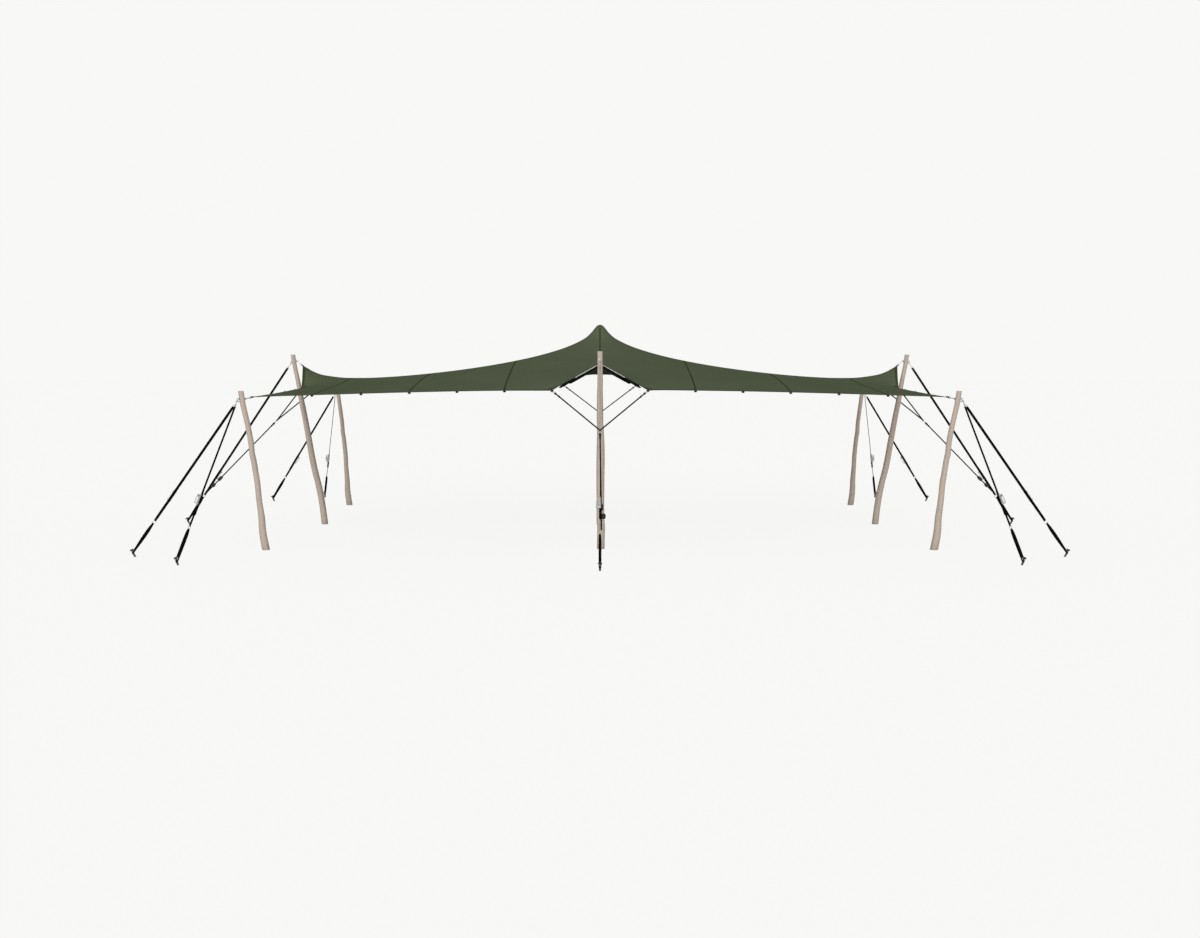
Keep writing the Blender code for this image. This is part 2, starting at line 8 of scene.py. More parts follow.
import logging
from dataclasses import dataclass, field
from enum import Enum
from math import cos, pi, radians, sin, sqrt

import bpy
import numpy as np
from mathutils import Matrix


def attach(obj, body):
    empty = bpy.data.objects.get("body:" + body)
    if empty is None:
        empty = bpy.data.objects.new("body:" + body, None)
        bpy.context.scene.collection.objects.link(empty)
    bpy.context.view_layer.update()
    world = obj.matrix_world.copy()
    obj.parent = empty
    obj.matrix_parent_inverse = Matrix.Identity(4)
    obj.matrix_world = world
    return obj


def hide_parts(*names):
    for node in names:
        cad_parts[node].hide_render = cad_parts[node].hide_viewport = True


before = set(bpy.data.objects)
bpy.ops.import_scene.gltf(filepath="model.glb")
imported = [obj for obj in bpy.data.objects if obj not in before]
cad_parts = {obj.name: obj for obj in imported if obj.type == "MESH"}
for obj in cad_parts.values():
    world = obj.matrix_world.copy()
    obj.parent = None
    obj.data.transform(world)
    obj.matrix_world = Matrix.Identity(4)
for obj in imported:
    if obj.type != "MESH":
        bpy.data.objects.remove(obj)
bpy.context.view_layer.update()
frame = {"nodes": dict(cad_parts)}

Array = np.ndarray
Material = bpy.types.Material
Tree = bpy.types.NodeTree
Socket = bpy.types.NodeSocket
log = logging.getLogger("tent")

# An edge is shown sharp past this angle, and places closer than the touch are the same place
CREASE = radians(42)
TOUCH = 1e-6


# Vectors and curves


def vec(*values: float) -> Array:
    """The values as one vector."""
    return np.array(values, dtype=float)


def unit(v: Array) -> Array:
    """Each vector divided by its length."""
    v = np.asarray(v, dtype=float)
    return v / np.maximum(np.linalg.norm(v, axis=-1, keepdims=True), 1e-12)


def ease(low: float, high: float, x: Array) -> Array:
    """A smooth step: t * t * (3 - 2 t), where t runs from 0 at low to 1 at high."""
    t = np.clip((np.asarray(x, dtype=float) - low) / (high - low), 0.0, 1.0)
    return t * t * (3.0 - 2.0 * t)


def smooth_through(x: Array, known: Array, values: Array, sharp: Array | float = 0.0) -> Array:
    """A curve through known values: cubic between each pair, with slopes from the neighbours on both sides.
    Where it is sharp, the slopes before and after a known place are those of the straight lines to its
    neighbours.

    Args:
        x: Places to work the curve out at.
        known: Rising places of the known values.
        values: The known values, with the place first.
        sharp: How sharply the curve may bend at each known value, from 0 to 1.

    Returns:
        The values at x, with the place first.
    """
    known, values = np.asarray(known, dtype=float), np.asarray(values, dtype=float)
    slopes = np.gradient(values, known, axis=0)
    lines = np.diff(values, axis=0) / np.diff(known).reshape((-1,) + (1,) * (values.ndim - 1))
    leaving = slopes + sharp * (np.concatenate([lines, lines[-1:]]) - slopes)
    coming = slopes + sharp * (np.concatenate([lines[:1], lines]) - slopes)
    i = np.clip(np.searchsorted(known, x, side="right") - 1, 0, len(known) - 2)
    step = known[i + 1] - known[i]
    t = (x - known[i]) / step
    shape = t.shape + (1,) * (values.ndim - 1)
    t, step = t.reshape(shape), step.reshape(shape)
    return (values[i] * (1 + 2 * t) * (1 - t) ** 2 + leaving[i] * step * t * (1 - t) ** 2
            + values[i + 1] * t * t * (3 - 2 * t) + coming[i + 1] * step * t * t * (t - 1))


def bent_path(corners: Array, radius: float, steps: int = 7, closed: bool = False) -> Array:
    """A line with rounded corners: near a corner c the path is a (1-t)^2 + 2 c t (1-t) + b t^2, where a and
    b lie the radius before and after the corner, or half the way to the next corner if that is less.

    Args:
        corners: The corners of the line.
        radius: How far from its corner each curve starts and ends.
        steps: Points in each curve.
        closed: Whether the line returns to its first corner.

    Returns:
        The points of the path.
    """
    c = np.asarray(corners, dtype=float)
    to_next = np.roll(c, -1, axis=0) - c
    length = np.linalg.norm(to_next, axis=1, keepdims=True)
    to_next = to_next / length
    to_last = -np.roll(to_next, 1, axis=0)
    a = c + to_last * np.minimum(radius, 0.5 * np.roll(length, 1, axis=0))
    b = c + to_next * np.minimum(radius, 0.5 * length)
    t = np.linspace(0.0, 1.0, steps)[None, :, None]
    curves = a[:, None] * (1 - t) ** 2 + 2 * c[:, None] * t * (1 - t) + b[:, None] * t * t
    if closed:
        return curves.reshape(-1, 3)
    return np.concatenate([c[:1], curves[1:-1].reshape(-1, 3), c[-1:]])


def spread(points: Array, gap: float) -> Array:
    """The same line with points added evenly, so that none lie further apart than the gap."""
    points = np.asarray(points, dtype=float)
    place = np.concatenate([[0.0], np.cumsum(np.linalg.norm(np.diff(points, axis=0), axis=1))])
    every = np.union1d(place, np.linspace(0.0, place[-1], int(place[-1] / gap) + 2))
    every = every[np.concatenate([[True], np.diff(every) > gap * 0.02])]
    return np.stack([np.interp(every, place, points[:, k]) for k in range(points.shape[1])], axis=1)


def round_section(radius: float = 1.0, sides: int = 16) -> Array:
    """A circle of points, anticlockwise."""
    turn = np.arange(sides) * 2 * pi / sides
    return radius * np.stack([np.cos(turn), np.sin(turn)], axis=1)


def flat_section(half_width: float, half_thickness: float, corner: float, steps: int = 3) -> Array:
    """A rectangle with round corners, anticlockwise: four quarter circles joined by straight sides."""
    turn = np.linspace(0.0, pi / 2, steps)
    quarter = corner * np.stack([np.cos(turn), np.sin(turn)], axis=1)
    inner = vec(half_width - corner, half_thickness - corner)
    parts = []
    for k, way in enumerate(((1, 1), (-1, 1), (-1, -1), (1, -1))):
        c, s = round(cos(k * pi / 2)), round(sin(k * pi / 2))
        parts.append(quarter @ np.array([[c, s], [-s, c]]) + inner * way)
    return np.concatenate(parts)


# Surfaces


@dataclass
class Shape:
    """Points with four-sided and three-sided faces, a place on the cut for each corner of a face, the place
    of each point on the straight, unbent piece, and the number of each face's finish."""

    points: Array
    quads: Array
    tris: Array
    quad_cut: Array
    tri_cut: Array
    rest: Array
    quad_finish: Array | None = None
    tri_finish: Array | None = None

    def __post_init__(self) -> None:
        """Give every face the first finish where none is set."""
        if self.quad_finish is None:
            self.quad_finish = np.zeros(len(self.quads), dtype=int)
        if self.tri_finish is None:
            self.tri_finish = np.zeros(len(self.tris), dtype=int)

    def turned(self) -> "Shape":
        """The same shape with its faces turned over."""
        self.quads, self.quad_cut = self.quads[:, ::-1], self.quad_cut[:, ::-1]
        self.tris, self.tri_cut = self.tris[:, ::-1], self.tri_cut[:, ::-1]
        return self

    def outward(self) -> "Shape":
        """The same closed shape with its faces outwards: the sum of a . (b x c) over its triangles is above
        zero."""
        q, p = self.quads, self.points
        tris = np.concatenate([q[:, [0, 1, 2]], q[:, [0, 2, 3]], self.tris])
        a, b, c = p[tris[:, 0]] - p[0], p[tris[:, 1]] - p[0], p[tris[:, 2]] - p[0]
        return self.turned() if np.einsum("ij,ij->", a, np.cross(b, c)) < 0 else self

    def finished(self, number: int) -> "Shape":
        """The same shape with every face in that finish."""
        self.quad_finish = np.full(len(self.quads), number)
        self.tri_finish = np.full(len(self.tris), number)
        return self

    def placed(self, origin: Array, x: Array, y: Array, z: Array) -> "Shape":
        """A copy laid out along other axes: origin + x * px + y * py + z * pz."""
        axes = np.stack([x, y, z])
        made = Shape(origin + self.points @ axes, self.quads, self.tris, self.quad_cut, self.tri_cut,
                     self.rest, self.quad_finish, self.tri_finish)
        return made.turned() if np.linalg.det(axes) < 0 else made


def join(*shapes: Shape) -> Shape:
    """Several shapes as one, each still closed in itself."""
    starts = np.cumsum([0] + [len(s.points) for s in shapes[:-1]])
    return Shape(
        np.concatenate([s.points for s in shapes]),
        np.concatenate([s.quads + n for s, n in zip(shapes, starts)]),
        np.concatenate([s.tris + n for s, n in zip(shapes, starts)]),
        np.concatenate([s.quad_cut for s in shapes]), np.concatenate([s.tri_cut for s in shapes]),
        np.concatenate([s.rest for s in shapes]),
        np.concatenate([s.quad_finish for s in shapes]), np.concatenate([s.tri_finish for s in shapes]))


def skin(rings: Array, closed: bool = False, tips: tuple = (None, None), rest: Array | None = None) -> Shape:
    """Skin over rings of points: face (i, k) joins points k and k + 1 of ring i to the same points of ring i
    + 1.

    Args:
        rings: Points as (ring, place in the ring, xyz).
        closed: Whether the last ring joins the first.
        tips: End points; where one is None, the end is flat and its fan meets at the ring's middle.
        rest: Places of the points on the unbent piece, in the same order as the rings.

    Returns:
        The closed shape, whose cut runs in metres round the first ring and along the first points.
    """
    rings = np.asarray(rings, dtype=float)
    count, sides = rings.shape[:2]
    index = np.arange(count * sides).reshape(count, sides)
    upper = np.roll(index, -1, axis=0) if closed else index[1:]
    lower = index if closed else index[:-1]
    quads = np.stack([lower, np.roll(lower, -1, axis=1), np.roll(upper, -1, axis=1), upper], axis=-1)
    round_ring = np.linalg.norm(np.roll(rings, -1, axis=1) - rings, axis=2).mean(axis=0)
    across = np.concatenate([[0.0], np.cumsum(round_ring)])
    middles = rings.mean(axis=1)
    steps = np.linalg.norm(np.roll(middles, -1, axis=0) - middles, axis=1)
    along = np.concatenate([[0.0], np.cumsum(steps)])
    u0, v0 = np.meshgrid(across[:-1], along[:len(lower)])
    u1, v1 = np.meshgrid(across[1:], along[1:len(lower) + 1])
    cut = np.stack([np.stack([u0, v0], -1), np.stack([u1, v0], -1), np.stack([u1, v1], -1),
                    np.stack([u0, v1], -1)], axis=2)
    points, tris, tri_cut = [rings.reshape(-1, 3)], [], []
    if not closed:
        for n, (ring, tip) in enumerate(((index[0], tips[0]), (index[-1], tips[1]))):
            centre = np.full(sides, count * sides + n)
            way = ring if n else ring[::-1]
            tris.append(np.stack([way, np.roll(way, -1), centre], axis=1))
            points.append((middles[-n] if tip is None else np.asarray(tip, dtype=float))[None])
            flat = (points[0][tris[-1][:, :2]] - middles[-n]) @ _two_ways(rings[-n] - middles[-n])
            tri_cut.append(np.concatenate([flat, np.zeros((sides, 1, 2))], axis=1))
    every = np.concatenate(points)
    laid = every if rest is None else np.concatenate([rest.reshape(-1, 3)] + [
        rest.reshape(count, sides, 3)[-n].mean(axis=0)[None] for n in range(len(points) - 1)])
    shape = Shape(every, quads.reshape(-1, 4), np.concatenate(tris) if tris else np.zeros((0, 3), dtype=int),
                  cut.reshape(-1, 4, 2), np.concatenate(tri_cut) if tris else np.zeros((0, 3, 2)), laid)
    return shape.outward()


def _two_ways(ring: Array) -> Array:
    """Two unit vectors, square to each other, that span the plane nearest to a ring of points, as columns."""
    return np.linalg.svd(ring, full_matrices=False)[2][:2].T


def carry(points: Array, section: Array, side: Array, closed: bool = False) -> Shape:
    """Carry a section along a path: a ring is the path's point + x * first + y * second, where first is the
    side way made square to the path, and second is the path's way x first.

    Args:
        points: The path.
        section: One outline for the whole path, or one for each point.
        side: The side way, one for the whole path or one for each point.
        closed: Whether the path returns to its start.

    Returns:
        The closed shape.
    """
    points = np.asarray(points, dtype=float)
    if closed:
        steps = unit(np.roll(points, -1, axis=0) - points)
        along = unit(steps + np.roll(steps, 1, axis=0))
        mitre = 1.0 / np.maximum(0.5, np.einsum("ij,ij->i", steps, along))
    else:
        steps = unit(np.diff(points, axis=0))
        into, out = np.concatenate([steps[:1], steps]), np.concatenate([steps, steps[-1:]])
        along = unit(into + out)
        mitre = 1.0 / np.maximum(0.5, np.einsum("ij,ij->i", out, along))
    side = np.broadcast_to(np.asarray(side, dtype=float), points.shape)
    first = unit(side - along * np.einsum("ij,ij->i", side, along)[:, None])
    second = np.cross(along, first)
    flat = np.broadcast_to(section, (len(points),) + np.asarray(section).shape[-2:])
    rings = (points[:, None] + flat[..., :1] * first[:, None]
             + flat[..., 1:] * second[:, None] * mitre[:, None, None])
    return skin(rings, closed)


def turned_body(profile: Array, centre: Array, axis: Array, sides: int = 24) -> Shape:
    """Turn a profile of (radius, height) pairs round an axis: centre + axis * height + radius on a circle.
    An end of no radius becomes a point, and any other end is flat."""
    axis = unit(axis)
    first = unit(np.cross(axis, vec(0.3, 0.5, 1.0) if abs(axis[2]) < 0.9 else vec(1.0, 0.0, 0.0)))
    second = np.cross(axis, first)
    profile = np.asarray(profile, dtype=float)
    tips = [centre + axis * row[1] if row[0] <= 0.0 else None for row in (profile[0], profile[-1])]
    body = profile[(1 if tips[0] is not None else 0):(-1 if tips[1] is not None else None)]
    circle = round_section(1.0, sides)
    round_way = circle[:, :1] * first + circle[:, 1:] * second
    rings = centre + axis * body[:, 1][:, None, None] + body[:, 0][:, None, None] * round_way
    return skin(rings, tips=tuple(tips))


def plate(outline: Array, thickness: float, bevel: float) -> Shape:
    """A flat plate in the xy plane with bevelled rims: the outline, drawn in by the bevel at both faces."""
    outline = np.asarray(outline, dtype=float)
    ways = unit(np.roll(outline, -1, axis=0) - np.roll(outline, 1, axis=0))
    inner = outline + bevel * np.stack([-ways[:, 1], ways[:, 0]], axis=1)
    half = thickness / 2
    rows = [(inner, -half), (outline, -half + bevel), (outline, half - bevel), (inner, half)]
    return skin(np.stack([np.concatenate([o, np.full((len(o), 1), z)], axis=1) for o, z in rows]))


def arc(centre: tuple, radius: float, start: float, end: float, steps: int = 10) -> Array:
    """Points of an arc in the plane, from one angle in degrees to another."""
    turn = np.radians(np.linspace(start, end, steps))
    return np.asarray(centre, dtype=float) + radius * np.stack([np.cos(turn), np.sin(turn)], axis=1)


def make_piece(name: str, shape: Shape, finishes: list[Material], body: str = "tent",
               stands_for: tuple = ()) -> bpy.types.Object:
    """Put a shape into the scene as a piece of the object.

    Args:
        name: The piece's name.
        shape: Its surface.
        finishes: Materials, by the shape's finish numbers.
        body: The body that it moves with.
        stands_for: Nodes of the model that it replaces.

    Returns:
        The new object.
    """
    mesh = bpy.data.meshes.new(name)
    corners = np.concatenate([shape.quads.ravel(), shape.tris.ravel()]).astype(np.int32)
    starts = np.concatenate([np.arange(len(shape.quads)) * 4, len(shape.quads) * 4
                             + np.arange(len(shape.tris)) * 3])
    mesh.vertices.add(len(shape.points))
    mesh.loops.add(len(corners))
    mesh.polygons.add(len(starts))
    mesh.vertices.foreach_set("co", shape.points.astype(np.float32).ravel())
    mesh.loops.foreach_set("vertex_index", corners)
    mesh.polygons.foreach_set("loop_start", starts.astype(np.int32))
    numbers = np.concatenate([shape.quad_finish, shape.tri_finish]).astype(np.int32)
    mesh.polygons.foreach_set("material_index", numbers)
    mesh.polygons.foreach_set("use_smooth", np.ones(len(starts), dtype=bool))
    mesh.update(calc_edges=True)
    cut = mesh.uv_layers.new(name="cut")
    cut.uv.foreach_set("vector", np.concatenate([shape.quad_cut.reshape(-1, 2),
                                                 shape.tri_cut.reshape(-1, 2)]).astype(np.float32).ravel())
    laid = mesh.attributes.new("rest", "FLOAT_VECTOR", "POINT")
    laid.data.foreach_set("vector", shape.rest.astype(np.float32).ravel())
    mesh.set_sharp_from_angle(angle=CREASE)
    for finish in finishes:
        mesh.materials.append(finish)
    piece = bpy.data.objects.new(name, mesh)
    bpy.context.scene.collection.objects.link(piece)
    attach(piece, body)
    if stands_for:
        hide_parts(*stands_for)
    return piece


# Shader node groups: effects that several finishes share


def node(tree: Tree, kind: str, inputs: dict | None = None, **settings: object) -> bpy.types.Node:
    """Add a node, set its options, and give each named input a value or join it to a socket."""
    made = tree.nodes.new(kind)
    for key, value in settings.items():
        setattr(made, key, value)
    for key, value in (inputs or {}).items():
        if isinstance(value, Socket):
            tree.links.new(value, made.inputs[key])
        else:
            made.inputs[key].default_value = value
    return made


def calc(tree: Tree, operation: str, *values: object) -> Socket:
    """The result of a Math node on sockets or numbers."""
    return node(tree, "ShaderNodeMath", dict(enumerate(values)), operation=operation).outputs[0]


def between(tree: Tree, value: Socket, low: object = 0.0, high: object = 1.0, start: float = 0.0,
            end: float = 1.0) -> Socket:
    """A result that runs from low to high as the value runs from start to end, and stays there past them."""
    return node(tree, "ShaderNodeMapRange", {"Value": value, "From Min": start, "From Max": end,
                                             "To Min": low, "To Max": high}).outputs[0]


def noise(tree: Tree, place: Socket, scale: object, detail: float, **more: float) -> Socket:
    """Noise from 0 to 1 over a place, with any more of the node's inputs by name."""
    return node(tree, "ShaderNodeTexNoise", {"Vector": place, "Scale": scale, "Detail": detail,
                                             **more}).outputs[0]


def clamped(tree: Tree, value: Socket) -> Socket:
    """The value, held between 0 and 1."""
    return calc(tree, "MINIMUM", calc(tree, "MAXIMUM", value, 0.0), 1.0)


def blend_colours(tree: Tree, share: object, first: object, second: object) -> Socket:
    """A mix of two colours, each a socket or three numbers."""
    made = node(tree, "ShaderNodeMix", data_type="RGBA")
    for place, value in ((0, share), (6, first), (7, second)):
        if isinstance(value, Socket):
            tree.links.new(value, made.inputs[place])
        else:
            made.inputs[place].default_value = (*value, 1.0) if place else value
    return made.outputs[2]


class Effect(Enum):
    """The shared effects, by the name of their node group."""

    MOTTLE = "Mottle"
    WEAVE = "Weave"
    STITCHES = "Stitches"
    GRAIN = "Timber grain"
    RINGS = "Growth rings"
    WEAR = "Wear"
    SOIL = "Soil splash"
    TWIST = "Rope twist"


@dataclass
class EffectLibrary:
    """Builds each effect once and places it in the materials that ask for it."""

    made: dict = field(default_factory=dict)

    def place(self, tree: Tree, effect: Effect, **inputs: object) -> bpy.types.Node:
        """Put an effect into a material.

        Args:
            tree: The material's nodes.
            effect: Which effect.
            inputs: Values or sockets for its named inputs, with _ for each space.

        Returns:
            The group node.
        """
        if effect not in self.made:
            self.made[effect] = getattr(self, "_" + effect.name.lower())()
        placed = node(tree, "ShaderNodeGroup", node_tree=self.made[effect])
        for key, value in inputs.items():
            socket = placed.inputs[key.replace("_", " ")]
            if isinstance(value, Socket):
                tree.links.new(value, socket)
            else:
                socket.default_value = value
        return placed

    @staticmethod
    def _group(effect: Effect, inputs: dict, outputs: tuple) -> tuple:
        """A new group with a Vector input, number inputs with their defaults, and number outputs.

        Args:
            effect: The effect to name it after.
            inputs: Default of each number input.
            outputs: Names of the outputs.

        Returns:
            The group, the sockets of its inputs, and the node of its outputs.
        """
        tree = bpy.data.node_groups.new(effect.value, "ShaderNodeTree")
        tree.interface.new_socket("Vector", in_out="INPUT", socket_type="NodeSocketVector")
        for name, value in inputs.items():
            tree.interface.new_socket(name, in_out="INPUT",
                                      socket_type="NodeSocketFloat").default_value = value
        for name in outputs:
            tree.interface.new_socket(name, in_out="OUTPUT", socket_type="NodeSocketFloat")
        return tree, tree.nodes.new("NodeGroupInput").outputs, tree.nodes.new("NodeGroupOutput")

    def _mottle(self) -> Tree:
        """Soft patches of two sizes: noise at the scale, plus a third of noise at six times it."""
        tree, given, out = self._group(Effect.MOTTLE, {"Scale": 2.0}, ("Value",))
        large = noise(tree, given["Vector"], given["Scale"], 2.0)
        finer = calc(tree, "MULTIPLY", given["Scale"], 6.0)
        small = noise(tree, given["Vector"], finer, 3.0)
        total = calc(tree, "MULTIPLY_ADD", small, 0.33, calc(tree, "MULTIPLY", large, 0.67))
        tree.links.new(between(tree, total, start=0.32, end=0.68), out.inputs["Value"])
        return tree

    def _weave(self) -> Tree:
        """Threads over and under each other: height = 0.5 + 0.5 sin(2 pi u / across) sin(2 pi v / along)."""
        tree, given, out = self._group(Effect.WEAVE, {"Across": 0.002, "Along": 0.002}, ("Height",))
        place = node(tree, "ShaderNodeSeparateXYZ", {"Vector": given["Vector"]})
        waves = [calc(tree, "SINE", calc(
            tree, "MULTIPLY", calc(tree, "DIVIDE", place.outputs[k], given[name]), 2 * pi))
                 for k, name in ((0, "Across"), (1, "Along"))]
        height = calc(tree, "MULTIPLY_ADD", calc(tree, "MULTIPLY", *waves), 0.5, 0.5)
        tree.links.new(height, out.inputs["Height"])
        return tree

    def _stitches(self) -> Tree:
        """Two rows of stitches along v: inside a thread's half width of either row, and inside 0.7 of each
        pitch."""
        tree, given, out = self._group(Effect.STITCHES, {"Middle": 0.0, "Row": 0.008, "Thread": 0.0007,
                                                         "Pitch": 0.006}, ("Mask",))
        place = node(tree, "ShaderNodeSeparateXYZ", {"Vector": given["Vector"]})
        off = calc(tree, "ABSOLUTE", calc(tree, "SUBTRACT", place.outputs[0], given["Middle"]))
        beside = calc(tree, "ABSOLUTE", calc(tree, "SUBTRACT", off, given["Row"]))
        near = calc(tree, "LESS_THAN", beside, given["Thread"])
        dash = calc(tree, "LESS_THAN", calc(
            tree, "FRACT", calc(tree, "DIVIDE", place.outputs[1], given["Pitch"])), 0.7)
        tree.links.new(calc(tree, "MULTIPLY", near, dash), out.inputs["Mask"])
        return tree

    def _grain(self) -> Tree:
        """Long streaks of timber: noise on the straight pole's place with its length drawn out, and dark
        fine checks where a narrower noise lies near its middle value."""
        tree, given, out = self._group(Effect.GRAIN, {"Scale": 22.0, "Length": 0.05},
                                       ("Streak", "Check", "Height"))
        size = node(tree, "ShaderNodeCombineXYZ", {0: 1.0, 1: 1.0, 2: given["Length"]})
        place = node(tree, "ShaderNodeVectorMath", {0: given["Vector"], 1: size.outputs[0]},
                     operation="MULTIPLY")
        streak = noise(tree, place.outputs[0], given["Scale"], 5.0, Roughness=0.62, Distortion=0.35)
        finer = calc(tree, "MULTIPLY", given["Scale"], 3.1)
        fine = noise(tree, place.outputs[0], finer, 3.0)
        away = calc(tree, "ABSOLUTE", calc(tree, "SUBTRACT", fine, 0.5))
        check = between(tree, away, 1.0, 0.0, end=0.022)
        checks = calc(tree, "MULTIPLY", check, between(tree, streak, start=0.50, end=0.60))
        streaks = between(tree, streak, start=0.30, end=0.70)
        height = calc(tree, "SUBTRACT", streaks, calc(tree, "MULTIPLY", checks, 1.6))
        for name, socket in (("Streak", streaks), ("Check", checks), ("Height", height)):
            tree.links.new(socket, out.inputs[name])
        return tree

    def _rings(self) -> Tree:
        """Growth rings round the pole's middle, with cracks that run out from it."""
        tree, given, out = self._group(Effect.RINGS, {"Pitch": 0.004}, ("Ring", "Crack"))
        size = node(tree, "ShaderNodeVectorMath", {0: given["Vector"], 1: (1.0, 1.0, 0.0)},
                    operation="MULTIPLY")
        sway = noise(tree, given["Vector"], 30.0, 2.0)
        away = node(tree, "ShaderNodeVectorMath", {0: size.outputs[0]}, operation="LENGTH").outputs["Value"]
        far = calc(tree, "MULTIPLY_ADD", sway, 0.006, away)
        ring = calc(tree, "MULTIPLY_ADD", calc(tree, "SINE", calc(tree, "MULTIPLY", calc(
            tree, "DIVIDE", far, given["Pitch"]), 2 * pi)), 0.5, 0.5)
        place = node(tree, "ShaderNodeSeparateXYZ", {"Vector": given["Vector"]})
        turn = calc(tree, "ARCTAN2", place.outputs[1], place.outputs[0])
        wave = calc(tree, "SINE", calc(tree, "MULTIPLY_ADD", sway, 3.0, calc(tree, "MULTIPLY", turn, 5.0)))
        tree.links.new(ring, out.inputs["Ring"])
        tree.links.new(between(tree, wave, start=0.985, end=0.999), out.inputs["Crack"])
        return tree

    def _wear(self) -> Tree:
        """Rubbed places: patches of noise above a threshold that falls as the amount grows, broken up
        finely."""
        tree, given, out = self._group(Effect.WEAR, {"Scale": 25.0, "Amount": 0.3}, ("Mask", "Fine"))
        patches = noise(tree, given["Vector"], given["Scale"], 4.0)
        finer = calc(tree, "MULTIPLY", given["Scale"], 9.0)
        fine = noise(tree, given["Vector"], finer, 4.0)
        total = calc(tree, "MULTIPLY_ADD", fine, 0.4, calc(tree, "MULTIPLY", patches, 0.6))
        edge = between(tree, given["Amount"], 0.66, 0.40)
        mask = calc(tree, "MULTIPLY", calc(tree, "SUBTRACT", total, edge), 9.0)
        tree.links.new(clamped(tree, mask), out.inputs["Mask"])
        tree.links.new(fine, out.inputs["Fine"])
        return tree

    def _soil(self) -> Tree:
        """Splash from the ground: 1 at the ground, 0 at the reach and above, broken up by noise."""
        tree, given, out = self._group(Effect.SOIL, {"Reach": 0.25, "Amount": 0.5}, ("Mask",))
        place = node(tree, "ShaderNodeSeparateXYZ", {"Vector": given["Vector"]})
        share = calc(tree, "SUBTRACT", 1.0, calc(tree, "DIVIDE", place.outputs[2], given["Reach"]))
        spots = noise(tree, given["Vector"], 34.0, 5.0)
        total = calc(tree, "MULTIPLY_ADD", spots, 1.6, calc(tree, "SUBTRACT", share, 1.0))
        tree.links.new(calc(tree, "MULTIPLY", clamped(tree, total), given["Amount"]), out.inputs["Mask"])
        return tree

    def _twist(self) -> Tree:
        """Strands laid round a rope: height = |sin(pi (v / lay + u / round))|, and yarns at a finer pitch."""
        tree, given, out = self._group(Effect.TWIST, {"Lay": 0.012, "Round": 0.015}, ("Height",))
        place = node(tree, "ShaderNodeSeparateXYZ", {"Vector": given["Vector"]})
        turn = calc(tree, "ADD", calc(tree, "DIVIDE", place.outputs[1], given["Lay"]),
                    calc(tree, "DIVIDE", place.outputs[0], given["Round"]))
        strand = calc(tree, "ABSOLUTE", calc(tree, "SINE", calc(tree, "MULTIPLY", turn, pi)))
        other = calc(tree, "SUBTRACT", calc(tree, "DIVIDE", place.outputs[1], given["Lay"]),
                     calc(tree, "DIVIDE", place.outputs[0], given["Round"]))
        yarn = calc(tree, "ABSOLUTE", calc(tree, "SINE", calc(tree, "MULTIPLY", other, 3 * pi)))
        tree.links.new(calc(tree, "MULTIPLY_ADD", yarn, 0.3, calc(tree, "MULTIPLY", strand, 0.7)),
                       out.inputs["Height"])
        return tree


# Finishes


@dataclass(frozen=True)
class Finish:
    """What every finish has: a name, a base colour, and the shader's plain numbers."""

    name: str
    colour: tuple
    roughness: float = 0.8
    metallic: float = 0.0

    def start(self) -> tuple:
        """A new material with its shader, its tree, and sockets for the three places that a pattern may read.

        Returns:
            The material, its tree, its shader, and the object, cut and rest places.
        """
        material = bpy.data.materials.new(self.name)
        material.use_nodes = True
        tree = material.node_tree
        shader = tree.nodes["Principled BSDF"]
        shader.inputs["Roughness"].default_value = self.roughness
        shader.inputs["Metallic"].default_value = self.metallic
        material.diffuse_color = (*self.colour, 1.0)
        place = node(tree, "ShaderNodeTexCoord").outputs["Object"]
        cut = node(tree, "ShaderNodeUVMap", uv_map="cut").outputs["UV"]
        rest = node(tree, "ShaderNodeAttribute", attribute_name="rest").outputs["Vector"]
        return material, tree, shader, place, cut, rest

    def shades(self, tree: Tree, share: Socket, dark: float,
               light: float) -> Socket:
        """The base colour, from dark times to light times itself as the share runs from 0 to 1."""
        return blend_colours(tree, share, tuple(c * dark for c in self.colour),
                             tuple(c * light for c in self.colour))


def bump(tree: Tree, shader: bpy.types.Node, height: Socket, distance: float,
         strength: float = 1.0) -> None:
    """Feed a height to the shader's normal."""
    made = node(tree, "ShaderNodeBump", {"Height": height, "Distance": distance, "Strength": strength})
    tree.links.new(made.outputs[0], shader.inputs["Normal"])


